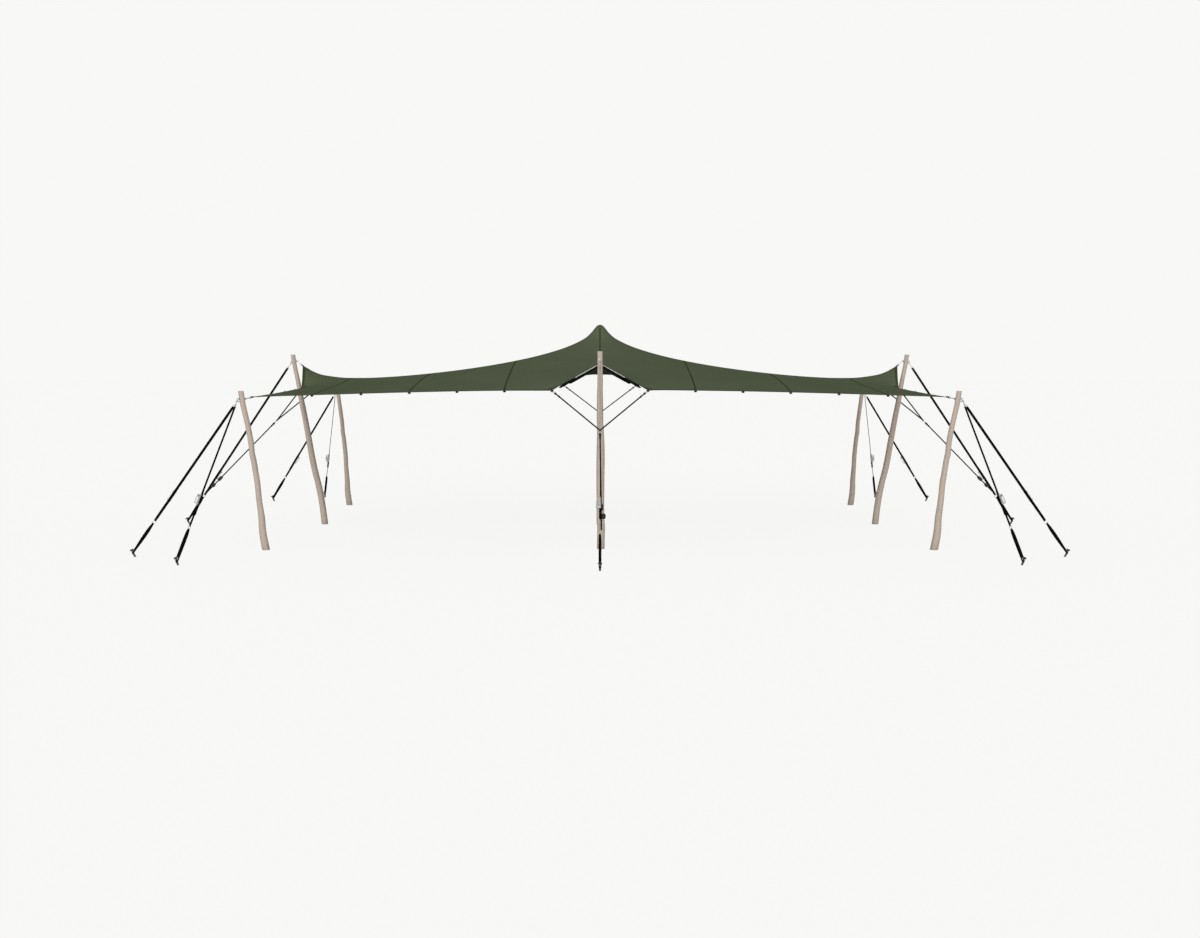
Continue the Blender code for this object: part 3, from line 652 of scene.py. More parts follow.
@dataclass(frozen=True)
class FabricFinish(Finish):
    """Stretch fabric: a fine knit, hardly mottled, with painted shade on its underside, and with rows of
    stitches where it is sewn."""

    # Painted shade: the underside's colour is the top's times this factor, standing in for the shade beneath
    # the sheet.
    under: float = 0.42
    pitch: float = 0.0024
    row: float = 0.0

    def build(self, effects: EffectLibrary) -> Material:
        """Make the material."""
        material, tree, shader, place, cut, _ = self.start()
        mottle = effects.place(tree, Effect.MOTTLE, Vector=place, Scale=1.3).outputs[0]
        colour = self.shades(tree, mottle, 0.955, 1.045)
        weave = effects.place(tree, Effect.WEAVE, Vector=cut, Across=self.pitch,
                              Along=self.pitch * 0.7).outputs[0]
        height = weave
        if self.row:
            sewn = effects.place(tree, Effect.STITCHES, Vector=cut, Row=self.row).outputs[0]
            colour = blend_colours(tree, sewn, colour, tuple(c * 0.5 for c in self.colour))
            height = calc(tree, "MULTIPLY_ADD", sewn, 2.5, weave)
        # Painted shade: faces whose normal points down have their colour multiplied by the under factor, as
        # if in the shade beneath the sheet.
        up = node(tree, "ShaderNodeSeparateXYZ",
                  {"Vector": node(tree, "ShaderNodeNewGeometry").outputs["Normal"]})
        below = between(tree, up.outputs[2], start=-0.12, end=0.05)
        colour = blend_colours(tree, below, node(tree, "ShaderNodeMix", {
            0: 1.0, 6: colour, 7: (self.under, self.under, self.under, 1.0)}, data_type="RGBA",
            blend_type="MULTIPLY").outputs[2], colour)
        tree.links.new(colour, shader.inputs["Base Color"])
        tree.links.new(between(tree, mottle, self.roughness - 0.04, self.roughness + 0.03),
                       shader.inputs["Roughness"])
        shader.inputs["Specular IOR Level"].default_value = 0.0
        bump(tree, shader, height, 0.0004, 0.35)
        return material


@dataclass(frozen=True)
class TimberFinish(Finish):
    """Debarked timber: long streaks, dark fine checks, a few darker knots, and soil at its foot."""

    dark: tuple = (0.205, 0.165, 0.135)

    def build(self, effects: EffectLibrary) -> Material:
        """Make the material."""
        material, tree, shader, place, _, rest = self.start()
        grain = effects.place(tree, Effect.GRAIN, Vector=rest)
        mottle = effects.place(tree, Effect.MOTTLE, Vector=place, Scale=3.0).outputs[0]
        colour = self.shades(tree, grain.outputs["Streak"], 0.87, 1.09)
        colour = blend_colours(tree, calc(tree, "MULTIPLY", mottle, 0.10), colour, self.dark)
        colour = blend_colours(tree, calc(tree, "MULTIPLY", grain.outputs["Check"], 0.45), colour, self.dark)
        knot = node(tree, "ShaderNodeAttribute", attribute_name="knot").outputs["Fac"]
        colour = blend_colours(tree, knot, colour, tuple(c * 0.62 for c in self.dark))
        soil = effects.place(tree, Effect.SOIL, Vector=place, Reach=0.16, Amount=0.45).outputs[0]
        colour = blend_colours(tree, soil, colour, (0.20, 0.16, 0.12))
        tree.links.new(colour, shader.inputs["Base Color"])
        tree.links.new(between(tree, grain.outputs["Streak"], 0.66, 0.84), shader.inputs["Roughness"])
        bump(tree, shader, grain.outputs["Height"], 0.0012, 0.5)
        return material


@dataclass(frozen=True)
class SawnFinish(Finish):
    """End grain of a sawn pole: growth rings and cracks."""

    def build(self, effects: EffectLibrary) -> Material:
        """Make the material."""
        material, tree, shader, _, _, rest = self.start()
        rings = effects.place(tree, Effect.RINGS, Vector=rest)
        colour = self.shades(tree, rings.outputs["Ring"], 0.72, 1.1)
        colour = blend_colours(tree, rings.outputs["Crack"], colour, (0.06, 0.045, 0.035))
        tree.links.new(colour, shader.inputs["Base Color"])
        bump(tree, shader, rings.outputs["Ring"], 0.0006, 0.5)
        return material


@dataclass(frozen=True)
class SteelFinish(Finish):
    """Steel with a zinc coat: large pale flakes, fine brushing and rubbed places."""

    flakes: float = 90.0
    worn: float = 0.35
    worn_colour: tuple = (0.70, 0.70, 0.69)
    soiled: float = 0.0

    def build(self, effects: EffectLibrary) -> Material:
        """Make the material."""
        material, tree, shader, place, _, _ = self.start()
        flake = node(tree, "ShaderNodeTexVoronoi", {"Vector": place, "Scale": self.flakes})
        grey = node(tree, "ShaderNodeSeparateColor", {"Color": flake.outputs["Color"]}).outputs[0]
        wear = effects.place(tree, Effect.WEAR, Vector=place, Scale=40.0, Amount=self.worn)
        colour = self.shades(tree, grey, 0.80, 1.12)
        colour = blend_colours(tree, calc(tree, "MULTIPLY", wear.outputs["Mask"], 0.6), colour,
                               self.worn_colour)
        if self.soiled:
            soil = effects.place(tree, Effect.SOIL, Vector=place, Reach=0.11, Amount=self.soiled).outputs[0]
            colour = blend_colours(tree, soil, colour, (0.16, 0.125, 0.09))
        tree.links.new(colour, shader.inputs["Base Color"])
        rough = between(tree, grey, self.roughness - 0.07, self.roughness + 0.08)
        tree.links.new(calc(tree, "SUBTRACT", rough, calc(tree, "MULTIPLY", wear.outputs["Mask"], 0.08)),
                       shader.inputs["Roughness"])
        bump(tree, shader, wear.outputs["Fine"], 0.0003, 0.4)
        return material


@dataclass(frozen=True)
class WebbingFinish(Finish):
    """Woven webbing: ribs across its width with painted highlight on them and painted shade between them,
    random tone, fuzz that catches a little light, and dust near the ground.
    """

    across: float = 0.0022
    along: float = 0.0032

    def build(self, effects: EffectLibrary) -> Material:
        """Make the material."""
        material, tree, shader, place, cut, _ = self.start()
        weave = effects.place(tree, Effect.WEAVE, Vector=cut, Across=self.across, Along=self.along).outputs[0]
        mottle = effects.place(tree, Effect.MOTTLE, Vector=place, Scale=9.0).outputs[0]
        # Painted highlight and shade: half of this follows the weave's height, so the ribs are painted
        # lighter and the gaps darker; the other half is random tone.
        shade = calc(tree, "MULTIPLY_ADD", mottle, 0.5, calc(tree, "MULTIPLY", weave, 0.5))
        colour = self.shades(tree, shade, 0.55, 1.6)
        soil = effects.place(tree, Effect.SOIL, Vector=place, Reach=0.14, Amount=0.30).outputs[0]
        colour = blend_colours(tree, soil, colour, (0.075, 0.06, 0.045))
        tree.links.new(colour, shader.inputs["Base Color"])
        tree.links.new(between(tree, shade, self.roughness - 0.12, self.roughness + 0.1),
                       shader.inputs["Roughness"])
        shader.inputs["Specular IOR Level"].default_value = 0.02
        bump(tree, shader, weave, 0.0006, 0.5)
        return material


@dataclass(frozen=True)
class RopeFinish(Finish):
    """Laid rope: strands and yarns round the line, painted lighter on their crowns and with painted shade in
    the grooves between them.
    """

    lay: float = 0.016
    girth: float = 0.0157

    def build(self, effects: EffectLibrary) -> Material:
        """Make the material."""
        material, tree, shader, place, cut, _ = self.start()
        twist = effects.place(tree, Effect.TWIST, Vector=cut, Lay=self.lay, Round=self.girth).outputs[0]
        mottle = effects.place(tree, Effect.MOTTLE, Vector=place, Scale=12.0).outputs[0]
        # Painted shade: the colour follows the twist's height, so the grooves between strands are painted
        # darker and the crowns lighter; the mottle adds random tone.
        shade = calc(tree, "MULTIPLY_ADD", mottle, 0.35, calc(tree, "MULTIPLY", twist, 0.65))
        tree.links.new(self.shades(tree, shade, 0.5, 1.5), shader.inputs["Base Color"])
        tree.links.new(between(tree, twist, self.roughness + 0.08, self.roughness - 0.06),
                       shader.inputs["Roughness"])
        shader.inputs["Specular IOR Level"].default_value = 0.06
        bump(tree, shader, twist, 0.0015, 0.9)
        return material


@dataclass(frozen=True)
class MouldedFinish(Finish):
    """Moulded rubber or paint: a fine stipple and rubbed places."""

    stipple: float = 260.0
    worn: float = 0.15
    worn_colour: tuple = (0.10, 0.10, 0.10)

    def build(self, effects: EffectLibrary) -> Material:
        """Make the material."""
        material, tree, shader, place, _, _ = self.start()
        grit = noise(tree, place, self.stipple, 3.0)
        wear = effects.place(tree, Effect.WEAR, Vector=place, Scale=30.0, Amount=self.worn)
        colour = self.shades(tree, grit, 0.75, 1.3)
        colour = blend_colours(tree, calc(tree, "MULTIPLY", wear.outputs["Mask"], 0.7), colour,
                               self.worn_colour)
        tree.links.new(colour, shader.inputs["Base Color"])
        tree.links.new(between(tree, grit, self.roughness - 0.08, self.roughness + 0.08),
                       shader.inputs["Roughness"])
        bump(tree, shader, grit, 0.0003, 0.5)
        return material


@dataclass
class Finishes:
    """Every material of the tent, built once."""

    effects: EffectLibrary = field(default_factory=EffectLibrary)

    def __post_init__(self) -> None:
        """Build the materials."""
        olive = (0.078, 0.0935, 0.0570)
        steel = (0.52, 0.53, 0.54)
        made = {"fabric": FabricFinish("stretch_fabric", olive, 0.86),
                "seam": FabricFinish("sewn_seam", (0.034, 0.044, 0.016), 0.86, row=0.006),
                "hem": FabricFinish("sewn_hem", (0.040, 0.050, 0.020), 0.86, row=0.011),
                "patch": FabricFinish("corner_patch", (0.050, 0.060, 0.033), 0.86, pitch=0.003),
                # The tape's under=0.9 paints a slight shade on its underside too.
                "tape": FabricFinish("edge_tape", (0.50, 0.51, 0.49), 0.75, under=0.9, pitch=0.004),
                "timber": TimberFinish("debarked_timber", (0.392, 0.326, 0.272), 0.75),
                "sawn": SawnFinish("sawn_timber", (0.40, 0.32, 0.25), 0.85),
                "zinc": SteelFinish("zinc_plated_steel", steel, 0.36, 0.9),
                "handle": SteelFinish("pressed_zinc_steel", (0.60, 0.61, 0.62), 0.34, 0.85, flakes=60.0),
                "forged": SteelFinish("forged_stake_steel", (0.045, 0.045, 0.045), 0.5, 0.7, flakes=160.0,
                                      worn=0.5, worn_colour=(0.42, 0.41, 0.40), soiled=0.6),
                "webbing": WebbingFinish("black_webbing", (0.0030, 0.0030, 0.0033), 0.85),
                "thread": MouldedFinish("sewing_thread", (0.028, 0.028, 0.030), 0.7, stipple=700.0),
                "rope": RopeFinish("laid_rope", (0.009, 0.009, 0.009), 0.85),
                "rubber": MouldedFinish("moulded_rubber", (0.022, 0.022, 0.022), 0.68),
                "toggle": MouldedFinish("dark_fitting", (0.0045, 0.0045, 0.0045), 0.72, stipple=120.0),
                "pale_fitting": MouldedFinish("pale_eyelet", (0.33, 0.35, 0.30), 0.5, stipple=150.0,
                                              worn_colour=(0.5, 0.5, 0.48)),}
        self.materials = {key: finish.build(self.effects) for key, finish in made.items()}

    def __getitem__(self, key: str) -> Material:
        """One material by its key."""
        return self.materials[key]


# The fabric


def shell_between(upper: Array, lower: Array, cut: Array) -> Shape:
    """A closed sheet between two grids: both faces, and walls from one to the other round the border.

    Args:
        upper: Points of the upper face as (row, column, xyz).
        lower: Points of the lower face in the same order.
        cut: Place of each point on the cut as (row, column, uv).

    Returns:
        The closed shape, with its faces outwards.
    """
    rows, cols = upper.shape[:2]
    index = np.arange(rows * cols).reshape(rows, cols)
    face = np.stack([index[:-1, :-1], index[1:, :-1], index[1:, 1:], index[:-1, 1:]], axis=-1).reshape(-1, 4)
    rim = np.concatenate([index[:-1, 0], index[-1, :-1], index[:0:-1, -1], index[0, :0:-1]])
    wall = np.stack([rim, rim + rows * cols, np.roll(rim, -1) + rows * cols, np.roll(rim, -1)], axis=1)
    quads = np.concatenate([face, face[:, ::-1] + rows * cols, wall])
    laid = np.concatenate([cut.reshape(-1, 2)] * 2)
    points = np.concatenate([upper.reshape(-1, 3), lower.reshape(-1, 3)])
    rest = np.concatenate([laid, np.zeros((len(laid), 1))], axis=1)
    return Shape(points, quads, np.zeros((0, 3), dtype=int), laid[quads], np.zeros((0, 3, 2)), rest).outward()


@dataclass
class Canopy:
    """The stretched sheet with its seams, hem, edge tapes, patches and edge tabs."""

    half_length: float = 5.22
    half_width: float = 3.76
    corner: tuple = (5.22, 3.76, 2.32)
    side_hold: tuple = (5.23, 0.0, 2.80)
    end_hold: tuple = (0.0, 3.86, 2.818)
    side_bridle: tuple = (5.11, 0.725, 2.42)
    end_bridle: tuple = (0.725, 3.68, 2.42)
    peak_height: float = 3.52
    peak_profile: tuple = ((0.0, 0.0, 0.0), (0.05, 0.048, 0.0139), (0.10, 0.090, 0.0587),
                           (0.16, 0.145, 0.1275), (0.25, 0.225, 0.2045))
    edge_pull: float = 14.0
    pull_unit: float = 3.0
    pull_end: float = 5.0
    plan_power: float = 0.2
    height_power: float = 0.4
    panel: float = 1.45
    thickness: float = 0.0022
    fine_lines: tuple = (0.0, 0.05, 0.10, 0.16, 0.25, 0.37, 0.53, 0.725, 1.04)
    length_ends: tuple = (4.79, 5.03)
    width_ends: tuple = (3.34, 3.57)
    line_gap: float = 0.078
    tape_start: float = 0.012
    tapes: tuple = ((0.38, 0.0045, 0.0, 0.0), (0.615, 0.0215, -0.0030, 0.0190))
    fold_height: float = 0.0045
    pull_reach: float = 0.2
    tape_steps: int = 36
    seam_lines: tuple = (-0.013, -0.012, 0.012, 0.013)
    seam_rise: tuple = (0.0001, 0.0011, 0.0011, 0.0001)
    hem_lines: tuple = (-0.0030, -0.0022, 0.034, 0.035)
    hem_rise: tuple = (-0.0004, 0.0013, 0.0013, 0.0001)
    hem_middle: float = 0.016
    corner_patch: float = 0.15
    edge_patch: float = 0.085
    tab_outline: tuple = ((-0.024, -0.026), (0.024, -0.026), (0.024, 0.010), (0.016, 0.022), (0.008, 0.0270),
                          (-0.008, 0.0270), (-0.016, 0.022), (-0.024, 0.010))

    def __post_init__(self) -> None:
        """Balance the net, then smooth it onto close lines."""
        known_u = self._lines(range(3, 10), self.length_ends + (self.half_length,))
        known_v = self._lines(range(3, 7), self.width_ends + (self.half_width,))
        net = self._balanced(known_u, known_v, self.plan_power)
        net[..., 2] = self._balanced(known_u, known_v, self.height_power)[..., 2]
        self.u, self.v = self._closer(known_u), self._closer(known_v)
        sharp_v = self._sharpness(known_v, known_u, self.half_length)
        across = smooth_through(self.v, known_v, net.transpose(1, 0, 2), sharp_v).transpose(1, 0, 2)
        inner_v = smooth_through(self.v, known_v, known_v)
        sharp_u = self._sharpness(known_u, inner_v, self.half_width)
        self.top = smooth_through(self.u, known_u, across, sharp_u)
        u, v = np.meshgrid(self.u, self.v, indexing="ij")
        peak = np.maximum(np.abs(u), np.abs(v)) <= self.peak_profile[-1][0] + TOUCH
        beside = net[len(known_u) // 2 + len(self.peak_profile), len(known_v) // 2]
        row = (self.fine_lines[len(self.peak_profile)], beside[0], self.peak_height - beside[2])
        self.top[peak] = self._peak(u[peak], v[peak], self.peak_profile + (row,))
        self.normal = self._normals()
        self.top = self.top + self.normal * self._folds(u, v)[..., None]
        self.normal = self._normals()

    def _lines(self, thirds: range, ends: tuple) -> Array:
        """Net lines from edge to edge: close round the peak, then every third of a panel."""
        half = np.array(self.fine_lines + tuple(self.panel * k / 3 for k in thirds) + ends)
        return np.concatenate([-half[:0:-1], half])

    def _closer(self, known: Array) -> Array:
        """Each gap between net lines cut into equal parts that are no wider than the line gap, three at
        least."""
        parts = [np.linspace(a, b, max(3, int(np.ceil((b - a) / self.line_gap))) + 1)[:-1]
                 for a, b in zip(known[:-1], known[1:])]
        return np.concatenate(parts + [known[-1:]])

    def _peak(self, u: Array, v: Array, profile: tuple) -> Array:
        """The middle of the cut, drawn up into a round peak. A square of the cut becomes a circle, whose
        radius and drop below the top lie on a smooth curve through the profile and its mirror image."""
        cut, radii, drops = np.array(profile).T
        known = np.concatenate([-cut[:0:-1], cut])
        rows = np.stack([np.concatenate([-radii[:0:-1], radii]), np.concatenate([drops[:0:-1], drops])],
                        axis=1)
        found = smooth_through(np.maximum(np.abs(u), np.abs(v)), known, rows)
        angle = np.arctan2(v, u)
        return np.stack([found[..., 0] * np.cos(angle), found[..., 0] * np.sin(angle),
                         self.peak_height - found[..., 1]], axis=-1)

    def _held(self, u: Array, v: Array) -> tuple:
        """Mask and places of the net's points that the cap, poles and bridles hold."""
        held = np.maximum(np.abs(u), np.abs(v)) <= self.peak_profile[-1][0] + TOUCH
        place = np.zeros(u.shape + (3,))
        place[held] = self._peak(u[held], v[held], self.peak_profile)
        for cut, point in (((self.half_length, self.half_width), self.corner),
                           ((self.half_length, 0.0), self.side_hold), ((0.0, self.half_width), self.end_hold),
                           ((self.half_length, self.side_bridle[1]), self.side_bridle),
                           ((self.end_bridle[0], self.half_width), self.end_bridle)):
            here = (np.abs(np.abs(u) - cut[0]) < TOUCH) & (np.abs(np.abs(v) - cut[1]) < TOUCH)
            place[here] = np.stack([np.sign(u[here]) * point[0], np.sign(v[here]) * point[1],
                                    np.full(here.sum(), point[2])], axis=-1)
            held = held | here
        return held, place

    def _balanced(self, lines_u: Array, lines_v: Array, power: float) -> Array:
        """Balance a net of pulls. Each strip pulls by its width over its length, times (pull unit / distance
        from the peak) to the power, and the hem pulls by its own pull over its length. Every free point then
        rests where the pulls on it add up to nothing, which is one set of linear equations.

        Args:
            lines_u: Lines of the net along the length.
            lines_v: Lines of the net along the width.
            power: How fast the pull falls away from the peak. It falls slower for the places in plan than
                for the heights, because the fabric is stretched more up the slope than round it.

        Returns:
            The net's points as (line u, line v, xyz).
        """
        u, v = np.meshgrid(lines_u, lines_v, indexing="ij")
        held, place = self._held(u, v)
        rows, cols = u.shape
        index = np.arange(rows * cols).reshape(rows, cols)
        share_u = np.gradient(lines_u) * np.where(np.arange(rows) % (rows - 1) == 0, 0.5, 1.0)
        share_v = np.gradient(lines_v) * np.where(np.arange(cols) % (cols - 1) == 0, 0.5, 1.0)
        mid_u, mid_v = (lines_u[1:] + lines_u[:-1]) / 2, (lines_v[1:] + lines_v[:-1]) / 2
        gap_u, gap_v = np.diff(lines_u)[:, None], np.diff(lines_v)[None, :]
        pull_u = share_v[None] / gap_u * self._stretch(mid_u[:, None], lines_v[None], power)
        pull_v = share_u[:, None] / gap_v * self._stretch(lines_u[:, None], mid_v[None], power)
        pull_u[:, [0, -1]] += self.edge_pull / gap_u
        pull_v[[0, -1], :] += self.edge_pull / gap_v
        matrix = np.zeros((rows * cols,) * 2)
        for a, b, pull in ((index[:-1], index[1:], pull_u), (index[:, :-1], index[:, 1:], pull_v)):
            a, b, pull = a.ravel(), b.ravel(), pull.ravel()
            for i, j, sign in ((a, a, 1), (b, b, 1), (a, b, -1), (b, a, -1)):
                np.add.at(matrix, (i, j), sign * pull)
        fixed, points = held.ravel(), place.reshape(-1, 3)
        load = -matrix[np.ix_(~fixed, fixed)] @ points[fixed]
        points[~fixed] = np.linalg.solve(matrix[np.ix_(~fixed, ~fixed)], load)
        return points.reshape(rows, cols, 3)

    def _stretch(self, u: Array, v: Array, power: float) -> Array:
        """How much harder the fabric pulls near the peak."""
        return (self.pull_unit / np.clip(np.hypot(u, v), self.peak_profile[-1][0], self.pull_end)) ** power

    def _sharpness(self, along: Array, across: Array, edge: float) -> Array:
        """How sharply the sheet may bend at each net line: fully at the held places of the edge, and less
        inwards by exp(-distance / pull reach)."""
        held = np.isin(np.round(np.abs(along), 6), (0.0, self.end_bridle[0]))
        return (held[:, None] * np.exp(-(edge - np.abs(across)) / self.pull_reach)[None])[..., None]

    def _folds(self, u: Array, v: Array) -> Array:
        """Low tension folds that run out from the held places of the edge: height * f * exp(1 - f) times a
        cosine of the angle, where f is the distance over the pull reach."""
        total = np.zeros_like(u)
        for place, count, turn in self._held_places():
            du, dv = u - place[0], v - place[1]
            far = np.hypot(du, dv) / self.pull_reach
            wave = np.cos(count * np.arctan2(dv, du) + turn) * (
                0.7 + 0.3 * np.cos(2.3 * count * np.arctan2(dv, du)))
            total += self.fold_height * far * np.exp(1.0 - far) * wave
        return total

    def _held_places(self) -> list:
        """Cut places of the held points, with the number and turn of their folds."""
        rng = np.random.default_rng(7)
        places = [(su * self.half_length, sv * self.half_width) for su in (-1, 1) for sv in (-1, 1)]
        places += [(s * self.half_length, k * self.side_bridle[1]) for s in (-1, 1) for k in (-1, 0, 1)]
        places += [(k * self.end_bridle[0], s * self.half_width) for s in (-1, 1) for k in (-1, 0, 1)]
        return [(p, rng.integers(9, 14), rng.uniform(0, 2 * pi)) for p in places]

    def _normals(self) -> Array:
        """Upward normals: the cross product of the sheet's slopes along its lines."""
        return unit(np.cross(np.gradient(self.top, axis=0), np.gradient(self.top, axis=1)))

    def at(self, u: Array, v: Array) -> tuple:
        """Points and normals of the top face at places on the cut, on the faces between close lines. Just
        past the edge, the last face goes on."""
        i = np.clip(np.searchsorted(self.u, u) - 1, 0, len(self.u) - 2)
        j = np.clip(np.searchsorted(self.v, v) - 1, 0, len(self.v) - 2)
        s = ((u - self.u[i]) / (self.u[i + 1] - self.u[i]))[..., None]
        t = ((v - self.v[j]) / (self.v[j + 1] - self.v[j]))[..., None]
        found = [g[i, j] * (1 - s) * (1 - t) + g[i + 1, j] * s * (1 - t) + g[i, j + 1] * (1 - s) * t
                 + g[i + 1, j + 1] * s * t for g in (self.top, self.normal)]
        return found[0], unit(found[1])

    def _sewn(self, u: Array, v: Array, rise: Array, cut: Array) -> Shape:
        """A closed layer sewn round the sheet: it stands the rise above the top face and below the under
        face."""
        point, normal = self.at(u, v)
        return shell_between(point + normal * rise, point - normal * (self.thickness + rise), cut)

    def _seam(self, place: float) -> Shape:
        """A lapped seam across the sheet, 26 mm wide, on a straight line in plan: for each line of the
        sheet, the cut place is read off where the sheet reaches that distance along +X."""
        du = vec(*self.seam_lines)
        inside = np.abs(self.v) < self.half_width - 0.03
        v, rows = self.v[inside], self.top[:, inside, 0]
        middle = np.array([np.interp(place, rows[:, j], self.u) for j in range(len(v))])
        grid_u, grid_v = middle[None] + du[:, None], np.broadcast_to(v, (len(du), len(v)))
        cut = np.stack(np.broadcast_arrays(du[:, None], v[None]), axis=-1)
        return self._sewn(grid_u, grid_v, vec(*self.seam_rise)[:, None, None], cut)

    def _edge_places(self, side: int, inward: Array, along: Array | None = None) -> tuple:
        """Places on the cut beside one edge: 0 and 1 are the ends at -x and +x, 2 and 3 the sides at -y and
        +y."""
        sign = -1 if side % 2 == 0 else 1
        if side < 2:
            line = self.v if along is None else along
            return np.meshgrid(sign * (self.half_length - inward), line, indexing="ij")
        line = self.u if along is None else along
        v, u = np.meshgrid(sign * (self.half_width - inward), line, indexing="ij")
        return u, v

    def _hem(self, side: int) -> Shape:
        """A folded hem, 36 mm wide, round one edge."""
        inward = vec(*self.hem_lines)
        u, v = self._edge_places(side, inward)
        along = v if side < 2 else u
        cut = np.stack([np.broadcast_to((inward - self.hem_middle)[:, None], along.shape), along], axis=-1)
        return self._sewn(u, v, vec(*self.hem_rise)[:, None, None], cut)

    def _tape(self, side: int) -> Shape:
        """A pale tape on the raised rim at each side of the pole's hold, and the black webbing that hangs
        behind it. Each row of tapes gives where it ends, its half height, and how far out and down its
        middle lies."""
        tapes = []
        for sign in (-1, 1):
            for number, (end, half, out, below) in enumerate(self.tapes):
                along = np.linspace(self.tape_start, end, self.tape_steps)
                u, v = self._edge_places(side, vec(-0.0045, 0.0), along * sign)
                point = self.at(u, v)[0]
                outwards, up = unit((point[0] - point[1]) * vec(1, 1, 0)), vec(0, 0, 1)
                tall = half * (0.15 + 0.85 * ease(0.0, 0.03, end - along))
                section = flat_section(1.0, 0.0012, 0.0008)[None] * np.stack(
                    [tall, np.ones(self.tape_steps)], axis=1)[:, None]
                middle = point[0] + outwards * out - up * (self.tapes[0][1] + below)
                tapes.append(skin(middle[:, None] + section[..., :1] * up
                                  + section[..., 1:] * outwards[:, None]).finished(number))
        return join(*tapes)

    def _patch(self, place: tuple) -> Shape:
        """A round patch at a held place of the edge, larger at a corner: circles about it, held inside the
        cut."""
        at_corner = np.allclose(np.abs(place), (self.half_length, self.half_width), rtol=0.0, atol=TOUCH)
        radius = self.corner_patch if at_corner else self.edge_patch
        r, turn = np.meshgrid(np.linspace(0.0, radius, 8), np.linspace(0, 2 * pi, 49), indexing="ij")
        u = np.clip(place[0] + r * np.cos(turn), -self.half_length - 0.002, self.half_length + 0.002)
        v = np.clip(place[1] + r * np.sin(turn), -self.half_width - 0.002, self.half_width + 0.002)
        point, normal = self.at(u, v)
        rise = (0.0019 * (1 - ease(radius * 0.93, radius, r)) + 0.0001)[..., None]
        rings = np.concatenate([point + normal * rise, (point - normal * (self.thickness + rise))[::-1]])
        return skin(rings[:, :-1], tips=(rings[0, 0], rings[-1, 0]))

    def _tabs(self) -> tuple:
        """Edge fittings every half panel: a pale eyelet plate on the hem, and a dark webbing tab under the
        edge."""
        plates, tabs = [], []
        for side in range(4):
            limit = self.half_width if side < 2 else self.half_length
            steps = np.arange(2, int(limit / (self.panel / 2)) + 1) * self.panel / 2
            steps = steps[steps < limit - 0.2]
            for along in np.concatenate([-steps, steps, vec(-self.end_bridle[0], self.end_bridle[0])]):
                u, v = self._edge_places(side, vec(0.0, 0.03), vec(along - 0.02, along + 0.02))
                point, normal = self.at(u, v)
                middle, up = point[0].mean(axis=0), unit(normal[0].mean(axis=0))
                ways = unit(point[0, 1] - point[0, 0])
                outwards = unit(middle - point[1].mean(axis=0))
                out, down = unit(outwards - ways * np.dot(outwards, ways)), -up
                plates.append(plate(flat_section(0.031, 0.0085, 0.004), 0.0022, 0.0006).placed(
                    middle + up * 0.0024 - out * 0.0095, ways, out, up))
                lean = unit(out + down * 1.1)
                tabs.append(plate(self.tab_outline, 0.0032, 0.0008).placed(
                    middle - up * (self.thickness + 0.0034), ways, lean, np.cross(ways, lean)))
        return join(*plates), join(*tabs)

    def build(self, finishes: Finishes, cap: bpy.types.Object) -> None:
        """Make the sheet and what is sewn to it.

        Args:
            finishes: The tent's materials.
            cap: The pole cap that the sheet rests on; not used.
        """
        u, v = np.meshgrid(self.u, self.v, indexing="ij")
        body = shell_between(self.top, self.top - self.normal * self.thickness, np.stack([u, v], axis=-1))
        sheet = make_piece("canopy_sheet", body, [finishes["fabric"]],
                           stands_for=("canopy",))
        seams = join(*[self._seam(self.panel * k) for k in range(-3, 4)])
        hem = join(*[self._hem(side) for side in range(4)])
        tapes = join(*[self._tape(side) for side in range(4)])
        patches = join(*[self._patch(place) for place, _, _ in self._held_places()])
        plates, tabs = self._tabs()
        sewn = [make_piece(name, shape, [finishes[key] for key in keys])
                for name, shape, keys, slot in (
                    ("canopy_seams", seams, ("seam",), "stretch_fabric"),
                    ("canopy_hem", hem, ("hem",), "stretch_fabric"),
                    ("canopy_edge_tapes", tapes, ("tape", "webbing"), "stretch_fabric"),
                    ("canopy_patches", patches, ("patch",), "stretch_fabric"),
                    ("canopy_eyelet_plates", plates, ("pale_fitting",), "stretch_fabric"),
                    ("canopy_edge_tabs", tabs, ("webbing",), "stay_webbing"))]
        log.info("canopy: %d x %d lines, %d sewn pieces", len(self.u), len(self.v), len(sewn))


# The poles


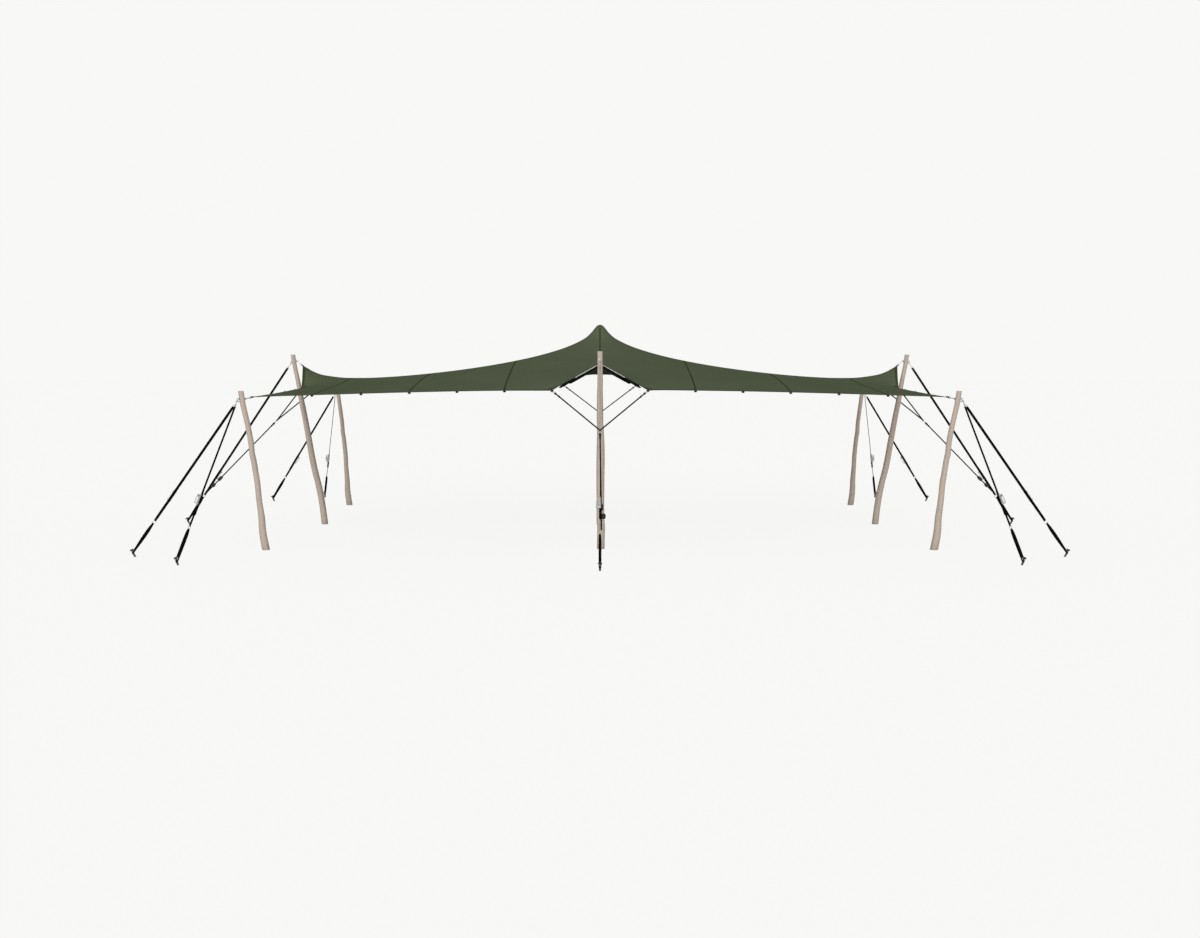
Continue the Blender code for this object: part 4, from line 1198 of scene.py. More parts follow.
@dataclass
class Pole:
    """One crooked pole of debarked timber, with a level foot and a level sawn head."""

    name: str
    foot: Array
    top: Array
    girth: tuple
    crook: tuple
    kinks: tuple
    side: Array
    seed: int
    crook_end: float = 0.91
    rows: int = 150
    sides: int = 40
    knots: int = 9

    def centre(self, share: Array) -> Array:
        """The middle line: a straight lean plus the sum of crook k times sin((k + 1) pi share / crook end),
        plus the kinks, which are known sideways steps at shares of the height."""
        lean = unit(self.top - self.foot)
        way = self.side - lean * np.dot(self.side, lean)
        phase = pi * np.minimum(share / self.crook_end, 1.0)
        drift = sum(size * np.sin((k + 1) * phase) for k, size in enumerate(self.crook))
        known, steps = zip(*self.kinks)
        drift = drift + smooth_through(share, known, steps)
        return self.foot + (self.top - self.foot) * share[:, None] + way * drift[:, None]

    def radius(self, share: Array) -> Array:
        """The mean radius at shares of the height, from the known girths."""
        known, radii = zip(*self.girth)
        return smooth_through(share, known, radii)

    def surface(self) -> tuple:
        """Level rings round the middle line. Their radius is the mean radius times 1 + waves of two, three
        and five round the pole that turn slowly with height, plus a rounded swelling at each knot.

        Returns:
            The shape and how far each point lies in a knot, from 0 to 1.
        """
        rng = np.random.default_rng(self.seed)
        height = self.top[2]
        share = np.unique(np.concatenate([np.linspace(0, 1, self.rows), vec(0.0015, 0.003, 0.9970, 0.9985)]))
        turn = np.arange(self.sides) * 2 * pi / self.sides
        s, a = share[:, None], turn[None]
        p = rng.uniform(0, 2 * pi, 8)
        relief = (0.030 * np.sin(2 * a + p[0] + 3.0 * s) + 0.020 * np.sin(3 * a + p[1] - 5.0 * s)
                  + 0.011 * np.sin(5 * a + p[2] + 9.0 * s + 0.8 * np.sin(11 * s + p[3]))
                  + 0.012 * np.sin(17 * s + p[4] + np.sin(a + p[5])) + 0.008 * np.sin(37 * s + p[6] + 2 * a))
        radius = self.radius(share)[:, None] * (1 + relief)
        place = rng.uniform(0.06, 0.95, self.knots)
        angle = rng.uniform(0, 2 * pi, self.knots)
        size = rng.uniform(0.010, 0.019, self.knots)
        away = np.angle(np.exp(1j * (a[..., None] - angle)))
        up = (s[..., None] - place) * height
        around = away * self.radius(place)
        lump = np.exp(-((up / (size * 1.5)) ** 2 + (around / size) ** 2))
        eye = np.exp(-((up / (size * 0.62)) ** 2 + (around / (size * 0.5)) ** 2) ** 2)
        radius = radius + 0.0042 * lump.sum(axis=-1) - 0.0016 * eye.sum(axis=-1)
        ends = np.minimum(ease(-0.0012, 0.003, share), 1 - ease(0.9970, 1.0015, share))[:, None]
        radius = radius * (0.90 + 0.10 * ends)
        circle = np.stack([np.cos(turn), np.sin(turn), 0 * turn], axis=1)
        rings = self.centre(share)[:, None] + radius[..., None] * circle[None]
        rest = radius[..., None] * circle[None] + np.stack([0 * share, 0 * share, share * height],
                                                           axis=1)[:, None]
        shape = skin(rings, rest=rest + vec(0.0, 0.0, self.seed * 7.3))
        shape.tri_finish[:] = 1
        mask = np.concatenate([np.clip(eye.sum(axis=-1), 0, 1).ravel(), np.zeros(2)])
        return shape, mask

    def build(self, finishes: Finishes) -> None:
        """Make the pole and stand it in place of its node."""
        shape, mask = self.surface()
        piece = make_piece(f"timber_{self.name}", shape, [finishes["timber"], finishes["sawn"]],
                           stands_for=(f"pole_{self.name}",))
        knot = piece.data.attributes.new("knot", "FLOAT", "POINT")
        knot.data.foreach_set("value", mask.astype(np.float32))
        log.info("pole %s: %d knots", self.name, self.knots)


@dataclass
class PeakCap:
    """The domed cap on the king pole: it fills the peak of the sheet, with a rounded skirt and a collar."""

    peak_height: float = 3.52
    peak_radius: float = 0.086
    drop: float = 0.17
    clearance: float = 0.0032
    dome_turn: float = 58.0
    skirt: tuple = ((0.0800, 0.112), (0.0865, 0.088), (0.0885, 0.060), (0.0890, 0.056), (0.0890, 0.050),
                    (0.0870, 0.046), (0.0860, 0.024), (0.0875, 0.020), (0.0875, 0.004), (0.0850, 0.0),
                    (0.058, -0.001), (0.0575, -0.034), (0.0545, -0.038), (0.0505, -0.038))

    def build(self, finishes: Finishes) -> bpy.types.Object:
        """Make the cap: a dome and a skirt of (radius, height over the base), turned round the upright
        axis."""
        dome = self.peak_radius
        centre = self.peak_height - dome - self.clearance
        turn = np.radians(np.linspace(0, self.dome_turn, 16))
        top = np.stack([dome * np.sin(turn), centre + dome * np.cos(turn)], axis=1)
        base = self.peak_height - self.drop
        skirt = np.array(self.skirt) + vec(0.0, base)
        shape = turned_body(np.concatenate([top, skirt]), vec(0, 0, 0), vec(0, 0, 1), 56)
        cap = make_piece("peak_cap", shape, [finishes["rubber"]], stands_for=("king_pole_cap",))
        log.info("peak cap made")
        return cap


@dataclass
class Link:
    """The eye bolt through a pole, with its nuts, the connector to the fabric's corner, and the ring for the
    stays."""

    name: str
    hold: Array
    eye: Array
    outward: Array
    reach: tuple
    pole_radius: float
    eye_reach: float = 0.048
    bolt: float = 0.0058
    eye_size: tuple = (0.0145, 0.0055)
    ring_rod: float = 0.0052
    oblong_half: float = 0.0115
    oblong_rod: float = 0.0042
    nut_size: tuple = (0.0105, 0.009)
    washer_size: tuple = (0.0155, 0.0024)

    def ring(self) -> Array:
        """Where the stays hang."""
        return self.eye + self.outward * self.reach[0] - vec(0, 0, self.reach[1])

    def _loop(self, centre: Array, long_way: Array, wide_way: Array, half: tuple, rod: float,
              bend: float = 0.5) -> Shape:
        """A link bent from rod: a rounded oblong in the plane of two ways."""
        a, b = half
        corners = [centre + long_way * x * a + wide_way * y * b
                   for x, y in ((1, 1), (-1, 1), (-1, -1), (1, -1))]
        path = bent_path(np.array(corners), 2 * b * bend, 8, closed=True)
        return carry(path, round_section(rod, 12), np.cross(long_way, wide_way), closed=True)

    def _nut(self, way: Array) -> Shape:
        """A washer with a six-sided nut on the bolt, on the pole's face that way."""
        face = self.pole_radius * 0.985
        turn = np.arange(6) * pi / 3
        outline = self.nut_size[0] * np.stack([np.cos(turn), np.sin(turn)], axis=1)
        ways = (vec(-way[1], way[0], 0), vec(0, 0, 1), way)
        nut = plate(outline, self.nut_size[1], 0.0012).placed(self.eye + way * (face + 0.0055), *ways)
        rim = round_section(self.washer_size[0], 24)
        washer = plate(rim, self.washer_size[1], 0.0006).placed(self.eye + way * face, *ways)
        return join(nut, washer)

    def build(self, finishes: Finishes) -> None:
        """Make the link's pieces."""
        up, out = vec(0, 0, 1), self.outward
        across = vec(-out[1], out[0], 0)
        inner, outer = self.eye - out * self.eye_reach, self.eye + out * self.eye_reach
        parts = [carry(np.array([inner + out * 0.016, outer - out * 0.016]), round_section(self.bolt, 14),
                       up)]
        for centre in (inner, outer):
            circle = round_section(self.eye_size[0], 28)
            path = centre + circle[:, :1] * out + circle[:, 1:] * up
            parts.append(carry(path, round_section(self.eye_size[1], 12), across, closed=True))
        parts += [self._nut(out), self._nut(-out)]
        ring = self.ring()
        fall = unit(ring - outer)
        half = np.linalg.norm(ring - outer) / 2 + 0.001
        circle = round_section(half, 32)
        path = (ring + outer) / 2 + circle[:, :1] * fall + circle[:, 1:] * unit(np.cross(fall, across))
        parts.append(carry(path, round_section(self.ring_rod, 12), across, closed=True))
        way = unit(self.hold - inner)
        length = float(np.linalg.norm(self.hold - inner))
        wide = unit(np.cross(way, np.cross(across, way)))
        first = 0.5 * (length - 0.040) + 0.004
        middle = inner + way * (first - 0.004)
        parts.append(self._loop(middle, way, wide, (first, self.oblong_half), self.oblong_rod))
        sleeve = middle + wide * self.oblong_half
        parts.append(carry(np.array([sleeve - way * 0.012, sleeve + way * 0.012]),
                           flat_section(0.0066, 0.0066, 0.002), wide))
        make_piece(f"link_{self.name}", join(*parts), [finishes["zinc"]],
                   stands_for=(f"pole_link_{self.name}",))
        square = np.cross(way, wide)
        d_ring = self._loop(self.hold - way * 0.024, way, square, (0.0165, 0.0125), 0.0034, 0.42)
        path = bent_path(np.array([self.hold + way * 0.030 + wide * 0.006,
                                   self.hold - way * 0.010 + wide * 0.0055,
                                   self.hold - way * 0.020,
                                   self.hold - way * 0.010 - wide * 0.0055,
                                   self.hold + way * 0.030 - wide * 0.008]), 0.007, 6)
        strap = carry(path, flat_section(0.0115, 0.0012, 0.0009), square)
        make_piece(f"fabric_ring_{self.name}", join(d_ring, strap.finished(1)),
                   [finishes["toggle"], finishes["webbing"]])
        log.info("link %s: %.0f mm from the pole's eye to the fabric", self.name, length * 1000)


# The stays


@dataclass(frozen=True)
class Line:
    """The straight line of a stay from its ring to its stake: the ways along it, across its webbing, and
    flat."""

    ring: Array
    ground: Array
    outward: Array
    swing: float
    lean: float = 0.45
    loop_height: float = 0.065

    @property
    def loop(self) -> Array:
        """The middle of the sling's loop on the stake."""
        return self.ground + self.outward * self.lean * self.loop_height + vec(0, 0, self.loop_height)

    @property
    def along(self) -> Array:
        """The way down the stay."""
        return unit(self.loop - self.ring)

    @property
    def flat(self) -> Array:
        """The level way square to the stay."""
        return unit(np.cross(self.along, vec(0, 0, 1)))

    @property
    def width(self) -> Array:
        """The way across the webbing."""
        return unit(np.cross(self.flat, self.along))

    def at_height(self, height: float) -> float:
        """How far down the stay a height lies."""
        return (height - self.ring[2]) / self.along[2]

    def place(self, shape: Shape, distance: float) -> Shape:
        """Lay out a shape whose x runs across the webbing, y up the stay and z towards the handle."""
        return shape.placed(self.ring + self.along * distance, self.width, -self.along,
                            self.flat * self.swing)


def tube(corners: list, rod: float, bend: float, side: tuple, closed: bool = False, sides: int = 12) -> Shape:
    """A rod bent through corners."""
    path = bent_path(np.array(corners, dtype=float), bend, 7, closed)
    return carry(path, round_section(rod, sides), vec(*side), closed=closed)


def stitched(points: Array, way: Array, length: float, lift: Array) -> Shape:
    """Short raised threads at many places at once: each is a flat hexagon that is highest in its middle.

    Args:
        points: The middle of each thread.
        way: The way that each thread runs.
        length: Length of a thread.
        lift: The way out of the cloth.

    Returns:
        All threads as one shape.
    """
    beside = unit(np.cross(lift, way))
    ring = np.array([(-0.5, 0.0), (-0.25, 0.5), (0.25, 0.5), (0.5, 0.0), (0.25, -0.5), (-0.25, -0.5)])
    flat = (points[:, None] + ring[None, :, :1] * length * way[:, None]
            + ring[None, :, 1:] * 0.0011 * beside[:, None])
    every = np.concatenate([flat, points[:, None] + lift * 0.0008, points[:, None] - lift * 0.0004], axis=1)
    index = np.arange(len(points))[:, None] * 8
    k = np.arange(6)
    tris = np.concatenate([
        np.stack(np.broadcast_arrays(index + k, index + (k + 1) % 6, index + 6), -1),
        np.stack(np.broadcast_arrays(index + (k + 1) % 6, index + k, index + 7), -1)], axis=1).reshape(-1, 3)
    points = every.reshape(-1, 3)
    shape = Shape(points, np.zeros((0, 4), dtype=int), tris, np.zeros((0, 4, 2)), points[tris][..., :2],
                  points)
    return shape.outward()


def stitch_box(middle: float, half_width: float, half_length: float, height: float) -> Shape:
    """A sewn box with a cross in it on both faces of a strap that runs along y, 5 mm from thread to
    thread."""
    c = [(-half_width, -half_length), (half_width, -half_length), (half_width, half_length),
         (-half_width, half_length), (-half_width, -half_length), (half_width, half_length),
         (-half_width, half_length), (half_width, -half_length)]
    lines = [(c[0], c[1]), (c[1], c[2]), (c[2], c[3]), (c[3], c[4]), (c[4], c[5]), (c[6], c[7])]
    places, ways = [], []
    for a, b in lines:
        a, b = vec(*a), vec(*b)
        count = max(2, int(np.linalg.norm(b - a) / 0.005))
        t = (np.arange(count) + 0.5) / count
        places.append(a + (b - a) * t[:, None])
        ways.append(np.broadcast_to(unit(b - a), (count, 2)))
    flat, way = np.concatenate(places) + vec(0, middle), np.concatenate(ways)
    zeros = np.zeros((len(flat), 1))
    way = np.concatenate([way, zeros], axis=1)
    both = [stitched(np.concatenate([flat, zeros + s * height], axis=1), way, 0.0038, vec(0, 0, s))
            for s in (-1, 1)]
    return join(*both)


@dataclass
class Stay:
    """One webbing stay: hook, strap, ratchet, folded tail, steel link and the sling round the stake."""

    name: str
    line: Line
    bolt_height: float = 0.94
    drum_height: float = 0.815
    tail_height: float = 0.665
    link_height: float = 0.50
    link_half: float = 0.025
    sleeve_end: float = 0.115
    half_width: float = 0.0195
    gather: float = 0.0018
    half_thickness: float = 0.0027
    frame: tuple = (0.0205, 0.018)
    frame_offset: float = 0.008
    plate_thickness: float = 0.002
    stake_radius: float = 0.015
    sling_spread: float = 0.0185
    sling_thickness: float = 0.0015
    strap_start: float = 0.1005
    hook_bar: float = 0.1025
    first_stitches: float = 0.142
    stitch_half: tuple = (0.012, 0.026)

    def _hook(self) -> Shape:
        """A forged hook round the ring, whose shank opens into a bow as wide as the strap, laid with y
        down."""
        shank = tube([(0, 0.086, 0), (0, 0.034, 0), (0, 0.016, 0.0125), (0, -0.012, 0.0115),
                      (0, -0.0135, -0.0085), (0, 0.002, -0.0135), (0, 0.010, -0.0125)], 0.0052, 0.012,
                     (1, 0, 0))
        collar = turned_body(np.array([(0.0052, 0.066), (0.0085, 0.070), (0.0085, 0.086), (0.0060, 0.090)]),
                             vec(0, 0, 0), vec(0, 1, 0), 16)
        bow = tube([(0.004, 0.078, 0), (0.0215, 0.092, 0), (0.0215, 0.1025, 0), (-0.0215, 0.1025, 0),
                    (-0.0215, 0.092, 0), (-0.004, 0.078, 0)], 0.0034, 0.006, (0, 0, 1), closed=True)
        return join(shank, collar, bow)

    def _strap(self, start: float, end: float, lumps: tuple) -> Shape:
        """Webbing from one distance down the stay to another: a round-edged flat section, thicker where it
        is folded round a bar, and narrower near its ends. Each lump gives a distance, a half length and a
        half thickness."""
        path = spread(np.array([(0, start, 0), (0, end, 0)], dtype=float), 0.02)
        rows = path[:, 1]
        for place, half, _ in lumps:
            rows = np.union1d(rows, np.clip(np.linspace(place - half * 1.4, place + half * 1.4, 11), start,
                                            end))
        thick = np.full(len(rows), self.half_thickness)
        for place, half, size in lumps:
            bulge = np.sqrt(np.clip(1 - ((rows - place) / (half * 1.4)) ** 2, 0, 1))
            thick = np.maximum(thick, size * bulge)
        near_bar = np.exp(-((rows - start) / 0.04) ** 2) + np.exp(-((end - rows) / 0.04) ** 2)
        half = np.stack([self.half_width - self.gather * near_bar, thick], axis=1)
        path = np.stack([0 * rows, rows, 0 * rows], axis=1)
        return carry(path, flat_section(1.0, 1.0, 0.45, 4)[None] * half[:, None], vec(1, 0, 0))

    def _frame(self, reach: float) -> Shape:
        """The ratchet's steel frame about its drum, with y up the stay: two side plates, the web between
        them, the bolt that holds the strap, and the toothed wheels."""
        across, off = self.frame[0] - self.plate_thickness / 2, self.frame_offset
        outline = np.concatenate([arc((0.0, off - 0.001), 0.0175, 150, 270, 12), [(0.045, off - 0.0175)],
                                  arc((reach, 0.0), 0.0092, -90, 90, 10),
                                  [(reach * 0.72, off + 0.0085), (0.050, off + 0.0165)],
                                  arc((0.0, off - 0.001), 0.0175, 80, 140, 6)])
        up_out = (vec(0, 1, 0), vec(0, 0, 1), vec(1, 0, 0))
        parts = [plate(outline, self.plate_thickness, 0.0005).placed(vec(x, 0, 0), *up_out)
                 for x in (-across, across)]
        web = plate(flat_section(self.frame[0] - self.plate_thickness, (reach - 0.062) / 2, 0.003), 0.0016,
                    0.0004)
        parts.append(web.placed(vec(0, (reach + 0.030) / 2, off - 0.0152), vec(1, 0, 0), vec(0, 1, 0),
                                vec(0, 0, 1)))
        teeth = np.arange(56)
        saw = 0.0135 + 0.0030 * ((teeth % 4) / 3.0)
        turn = teeth * 2 * pi / 56
        wheel = plate(saw[:, None] * np.stack([np.cos(turn), np.sin(turn)], axis=1), 0.0022, 0.0004)
        parts += [wheel.placed(vec(x, 0, 0), *up_out) for x in (-0.0168, 0.0168)]
        axis = vec(1, 0, 0)
        parts.append(turned_body(np.array([(0.0070, -0.0260), (0.0080, -0.0252), (0.0080, -0.0242),
                                           (0.0060, -0.0240), (0.0060, 0.0240), (0.0080, 0.0242),
                                           (0.0080, 0.0252), (0.0070, 0.0260)]), vec(0, 0, 0), axis, 20))
        parts.append(turned_body(np.array([(0.0045, -0.0262), (0.0078, -0.0250), (0.0078, -0.0215),
                                           (0.0045, -0.0212), (0.0045, 0.0212), (0.0080, 0.0215),
                                           (0.0080, 0.0262)]), vec(0, reach, 0), axis, 18))
        return join(*parts)

    def _pad(self, bolt: float, drum: float) -> Shape:
        """The wear pad: a strip of webbing under the ratchet, sewn to the strap above the bolt, with y
        down."""
        under = self.frame_offset - self.frame[1] - 0.0021
        rows = [(0, bolt - 0.075, -0.0046), (0, bolt - 0.030, -0.0052), (0, bolt + 0.004, under + 0.001),
                (0, bolt + 0.030, under - 0.0002), (0, drum, under - 0.0010),
                (0, drum + 0.030, under - 0.0014), (0, drum + 0.046, under - 0.0030)]
        path = smooth_through(np.linspace(0, 6, 40), np.arange(7.0), np.array(rows))
        return carry(path, flat_section(0.0202, 0.0013, 0.0009), vec(1, 0, 0))

    def _winding(self) -> Shape:
        """The strap wound on the drum: turns of webbing whose edges show as steps."""
        half = 0.0152
        rows = [(0.0060, -half)]
        for k in range(3):
            r = 0.0090 + 0.0026 * k
            rows += [(r - 0.0013, -half - 0.0003 + 0.0002 * k), (r + 0.0010, -half - 0.0003 + 0.0002 * k)]
        rows += [(0.0150, -half + 0.0009)]
        rows += [(r, -x) for r, x in reversed(rows)]
        return turned_body(np.array(rows), vec(0, 0, 0), vec(1, 0, 0), 28)

    def _folded_tail(self, drum: float, tail: float) -> Shape:
        """The spare strap folded back and forth beside the stay: five loops side by side, and two bands
        round them."""
        loops = []
        for k, f in enumerate((-0.0104, -0.0053, 0.0, 0.0053, 0.0104)):
            start, end = drum + 0.020 + (0.004, 0.010, 0, 0.007,
                                         0.013)[k], tail - (0.010, 0.003, 0, 0.006, 0.014)[k]
            rows = np.linspace(start, end, 24)
            pinch = sum(0.0005 * np.exp(-((rows - start - (end - start) * t) / 0.010) ** 2)
                        for t in (0.22, 0.78))
            close = f * (1 - 22 * pinch)
            thick = 0.00255 * np.sqrt(np.clip(np.minimum(rows - start, end - rows) / 0.004, 0.05, 1))
            section = flat_section(1.0, 1.0, 0.40, 4)
            flat = np.stack([section[None, :, 0] * (self.half_width - 0.0004 * k) + 0 * thick[:, None],
                             section[None, :, 1] * thick[:, None]], axis=-1)
            loops.append(carry(np.stack([0 * rows, rows, close], axis=1), flat, vec(1, 0, 0)))
        length = tail - drum
        for t in (0.30, 0.76):
            y = drum + length * t
            corners = [(x, y, z) for x, z in ((0.0207, 0.0134), (-0.0207, 0.0134), (-0.0207, -0.0134),
                                              (0.0207, -0.0134))]
            path = bent_path(np.array(corners), 0.004, 5, closed=True)
            loops.append(carry(path, flat_section(0.005, 0.0008, 0.0006), vec(0, 1, 0), closed=True))
        return join(*loops)

    def _sleeve(self, start: float, end: float) -> Shape:
        """The sleeve round both legs of the sling, with y down: rounded sections that swell towards the
        middle."""
        rows = np.array([(0.0, 0.0150, 0.0062), (0.08, 0.0195, 0.0130), (0.25, 0.0245, 0.0195),
                         (0.45, 0.0252, 0.0205), (0.70, 0.0225, 0.0196), (0.90, 0.0185, 0.0188),
                         (1.0, 0.0165, 0.0184)])
        share = np.linspace(0.0, 1.0, 40)
        half = smooth_through(share, rows[:, 0], rows[:, 1:]) * (1 + 0.03 * np.sin(share * 55.0))[:, None]
        path = np.stack([0 * share, start + (end - start) * share, 0 * share], axis=1)
        return carry(path, flat_section(1.0, 1.0, 0.62, 6)[None] * half[:, None], vec(1, 0, 0))

    def _sling(self) -> Shape:
        """A flat band in a loop: out of the steel link, down two legs and round the back of the stake. Its
        rings are smoothed through the places that set its shape."""
        line = self.line
        along, width, flat = line.along, line.width, line.flat
        link = line.at_height(self.link_height)
        start = line.ring + along * (link + self.link_half - 0.001)
        axis = unit(line.outward * line.lean + vec(0, 0, 1))
        back = unit(along - axis * np.dot(along, axis))
        slant = float(np.dot(along, back))
        around = self.stake_radius + self.sling_thickness + 0.0012
        length = float(np.dot(line.loop - start, along))
        leg = [(-0.006, 0.0026, 0.0150, flat), (0.006, 0.0075, 0.0155, unit(flat - along * 0.3)),
               (length * 0.10, self.sling_spread * 0.86, 0.0155, flat),
               (length * 0.25, self.sling_spread, 0.0170, flat),
               (length * 0.55, self.sling_spread, 0.0175, flat),
               (length * 0.78, self.sling_spread * 0.98, 0.0160, flat),
               (length * 0.94, self.sling_spread * 0.96, 0.0152, flat)]
        rows = [(start + along * s - flat * f, width, h, n - 2 * flat * np.dot(flat, n))
                for s, f, h, n in leg]
        for turn in np.radians((-90, -60, -30, 0, 30, 60, 90)):
            normal = back * cos(turn) + flat * sin(turn)
            rows.append((start + along * (length + around / slant * cos(turn)) + flat * around * sin(turn),
                         axis, 0.0148, normal))
        rows += [(start + along * s + flat * f, width, h, n) for s, f, h, n in reversed(leg)]
        parts = [np.array([row[k] for row in rows], dtype=float) for k in range(4)]
        wrapped = [np.concatenate([part[-3:], part, part[:3]]) for part in parts]
        known = np.arange(-3, len(rows) + 3, dtype=float)
        fine = np.arange(0, len(rows), 0.2)
        middle, way, half, normal = (smooth_through(fine, known, part) for part in wrapped)
        way, normal = unit(way), unit(normal)
        section = flat_section(1.0, 1.0, 0.4, 3)
        rings = (middle[:, None] + section[None, :, :1] * (way * half[:, None])[:, None]
                 + section[None, :, 1:] * normal[:, None] * self.sling_thickness)
        return skin(rings, closed=True)

    def build(self, finishes: Finishes) -> None:
        """Make the stay's pieces and lay them along its line."""
        line = self.line
        bolt, drum, tail, link = (line.at_height(z) for z in (
            self.bolt_height, self.drum_height, self.tail_height, self.link_height))
        top_bar = link - self.link_half
        down = (line.width, line.along, line.flat * line.swing)
        upper = join(self._strap(self.strap_start, bolt + 0.002,
                                 ((self.hook_bar, 0.006, 0.0058), (bolt, 0.008, 0.0072))),
                     self._strap(drum + 0.012, top_bar + 0.0025, ((top_bar, 0.005, 0.0062),)),
                     self._winding().placed(vec(0, drum, 0), vec(1, 0, 0), vec(0, 1, 0), vec(0, 0, 1)),
                     self._folded_tail(drum, tail), self._pad(bolt, drum),
                     self._sleeve(link + self.link_half + 0.014,
                                  line.at_height(self.sleeve_end))).placed(line.ring, *down)
        threads = join(stitch_box(self.first_stitches, *self.stitch_half, self.half_thickness),
                       stitch_box(bolt - 0.050, *self.stitch_half, self.half_thickness),
                       stitch_box(top_bar - 0.034, 0.012, 0.020, self.half_thickness)
                       ).placed(line.ring, *down)
        make_piece(f"webbing_{self.name}", join(upper, self._sling(), threads.finished(1)),
                   [finishes["webbing"], finishes["thread"]],
                   stands_for=(f"stay_{self.name}",))
        low_bar = link + self.link_half
        oblong = tube([(-0.0235, top_bar, 0), (0.0235, top_bar, 0), (0.0195, low_bar, 0),
                       (-0.0195, low_bar, 0)], 0.0042, 0.009, (0, 0, 1), closed=True)
        steel = join(self._hook(), oblong).placed(line.ring, *down)
        frame_shape = line.place(self._frame(drum - bolt), drum)
        make_piece(f"ratchet_{self.name}", join(steel, frame_shape), [finishes["zinc"]])
        log.info("stay %s: %.2f m from its ring to its stake", self.name,
                 np.linalg.norm(line.loop - line.ring))


@dataclass
class Handle:
    """The handle of one ratchet: two ears on the drum, arms up along the stay, and a rolled grip."""

    name: str
    line: Line
    drum_height: float = 0.815
    plate_place: float = 0.0223
    arm_place: float = 0.0270

    def _side(self, sign: int) -> Shape:
        """One pressed arm: a strip bent through the ear, the shoulder and the arm."""
        p, a = self.plate_place * sign, self.arm_place * sign
        rows = [(p, 0.000, -0.0105, 0.0098), (p, 0.001, 0.012, 0.0100), (a, 0.003, 0.030, 0.0092),
                (a, 0.016, 0.0475, 0.0086), (a, 0.040, 0.0492, 0.0082), (a, 0.070, 0.0480, 0.0080),
                (a, 0.110, 0.0448, 0.0075), (a - 0.004 * sign, 0.138, 0.0425, 0.0070)]
        known = np.arange(len(rows), dtype=float)
        data = smooth_through(np.linspace(0, len(rows) - 1, 36), known, np.array(rows))
        path, half = data[:, :3], data[:, 3]
        section = flat_section(1.0, 1.0, 0.45, 3)
        flat = np.stack([section[None, :, 0] * half[:, None], section[None, :, 1] * 0.00125 + 0
                         * half[:, None]], axis=-1)
        steps = unit(np.gradient(path, axis=0))
        side = unit(np.cross(vec(1, 0, 0), steps))
        return carry(path, flat, side)

    def build(self, finishes: Finishes) -> None:
        """Make the handle on its own body, so that it swings about the drum."""
        ear = [turned_body(np.array([(0.0112, -0.0012), (0.0116, -0.0008), (0.0116, 0.0008),
                                     (0.0112, 0.0012)]), vec(s * self.plate_place, 0, 0), vec(1, 0, 0), 28)
               for s in (-1, 1)]
        grip = tube([(-0.0262, 0.134, 0.0428), (-0.0232, 0.1515, 0.0405), (0.0232, 0.1515, 0.0405),
                     (0.0262, 0.134, 0.0428)], 0.0056, 0.010, (0, 0, 1), sides=16)
        pressed = plate(flat_section(0.0235, 0.0165, 0.004), 0.0018, 0.0005).placed(
            vec(0, 0.1345, 0.0432), vec(1, 0, 0), unit(vec(0, 1, -0.10)), unit(vec(0, 0.10, 1)))
        rib = carry(np.array([(-0.015, 0.132, 0.0445), (0.015, 0.132, 0.0445)]),
                    flat_section(0.004, 0.0012, 0.001), unit(vec(0, 1, -0.10)))
        shape = join(self._side(-1), self._side(1), *ear, grip, pressed, rib)
        placed = self.line.place(shape, self.line.at_height(self.drum_height))
        make_piece(f"handle_{self.name}", placed, [finishes["handle"]],
                   body=f"lever_{self.name}", stands_for=(f"ratchet_lever_{self.name}",))


@dataclass
class Stake:
    """A forged stake that leans away from the tent, with a mushroomed head."""

    name: str
    ground: Array
    outward: Array
    radius: float = 0.0148
    head: float = 0.030
    top: float = 0.115
    lean: float = 0.45

    def build(self, finishes: Finishes) -> None:
        """Turn the stake's profile round its axis, and draw what is below the ground up to it along the
        axis."""
        axis = unit(self.outward * self.lean + vec(0, 0, 1))
        length = self.top * sqrt(1 + self.lean ** 2)
        r, h = self.radius, self.head
        profile = np.array([(r, -0.02), (r, 0.0), (r, 0.02), (r, 0.045), (r, 0.07), (r, length - 0.026),
                            (r * 1.12, length - 0.020), (h * 0.80, length - 0.0165),
                            (h * 0.96, length - 0.0135), (h * 1.0, length - 0.0095),
                            (h * 0.95, length - 0.0055), (h * 0.74, length - 0.0022),
                            (h * 0.40, length - 0.0005), (0.0, length)])
        shape = turned_body(profile, self.ground, axis, 30)
        away = shape.points - self.ground
        turn = np.arctan2(away @ np.cross(axis, self.outward), away @ self.outward)
        near_head = ease(length - 0.022, length - 0.010, away @ axis)[:, None]
        across = away - (away @ axis)[:, None] * axis
        shape.points = shape.points + across * (0.05 * np.sin(3 * turn + 1.0) + 0.03 * np.sin(7 * turn))[
            :, None] * near_head
        below = np.minimum(shape.points[:, 2], 0.0)
        shape.points = shape.points - axis * (below / axis[2])[:, None]
        make_piece(f"forged_{self.name}", shape, [finishes["forged"]],
                   stands_for=(f"stake_{self.name}",))


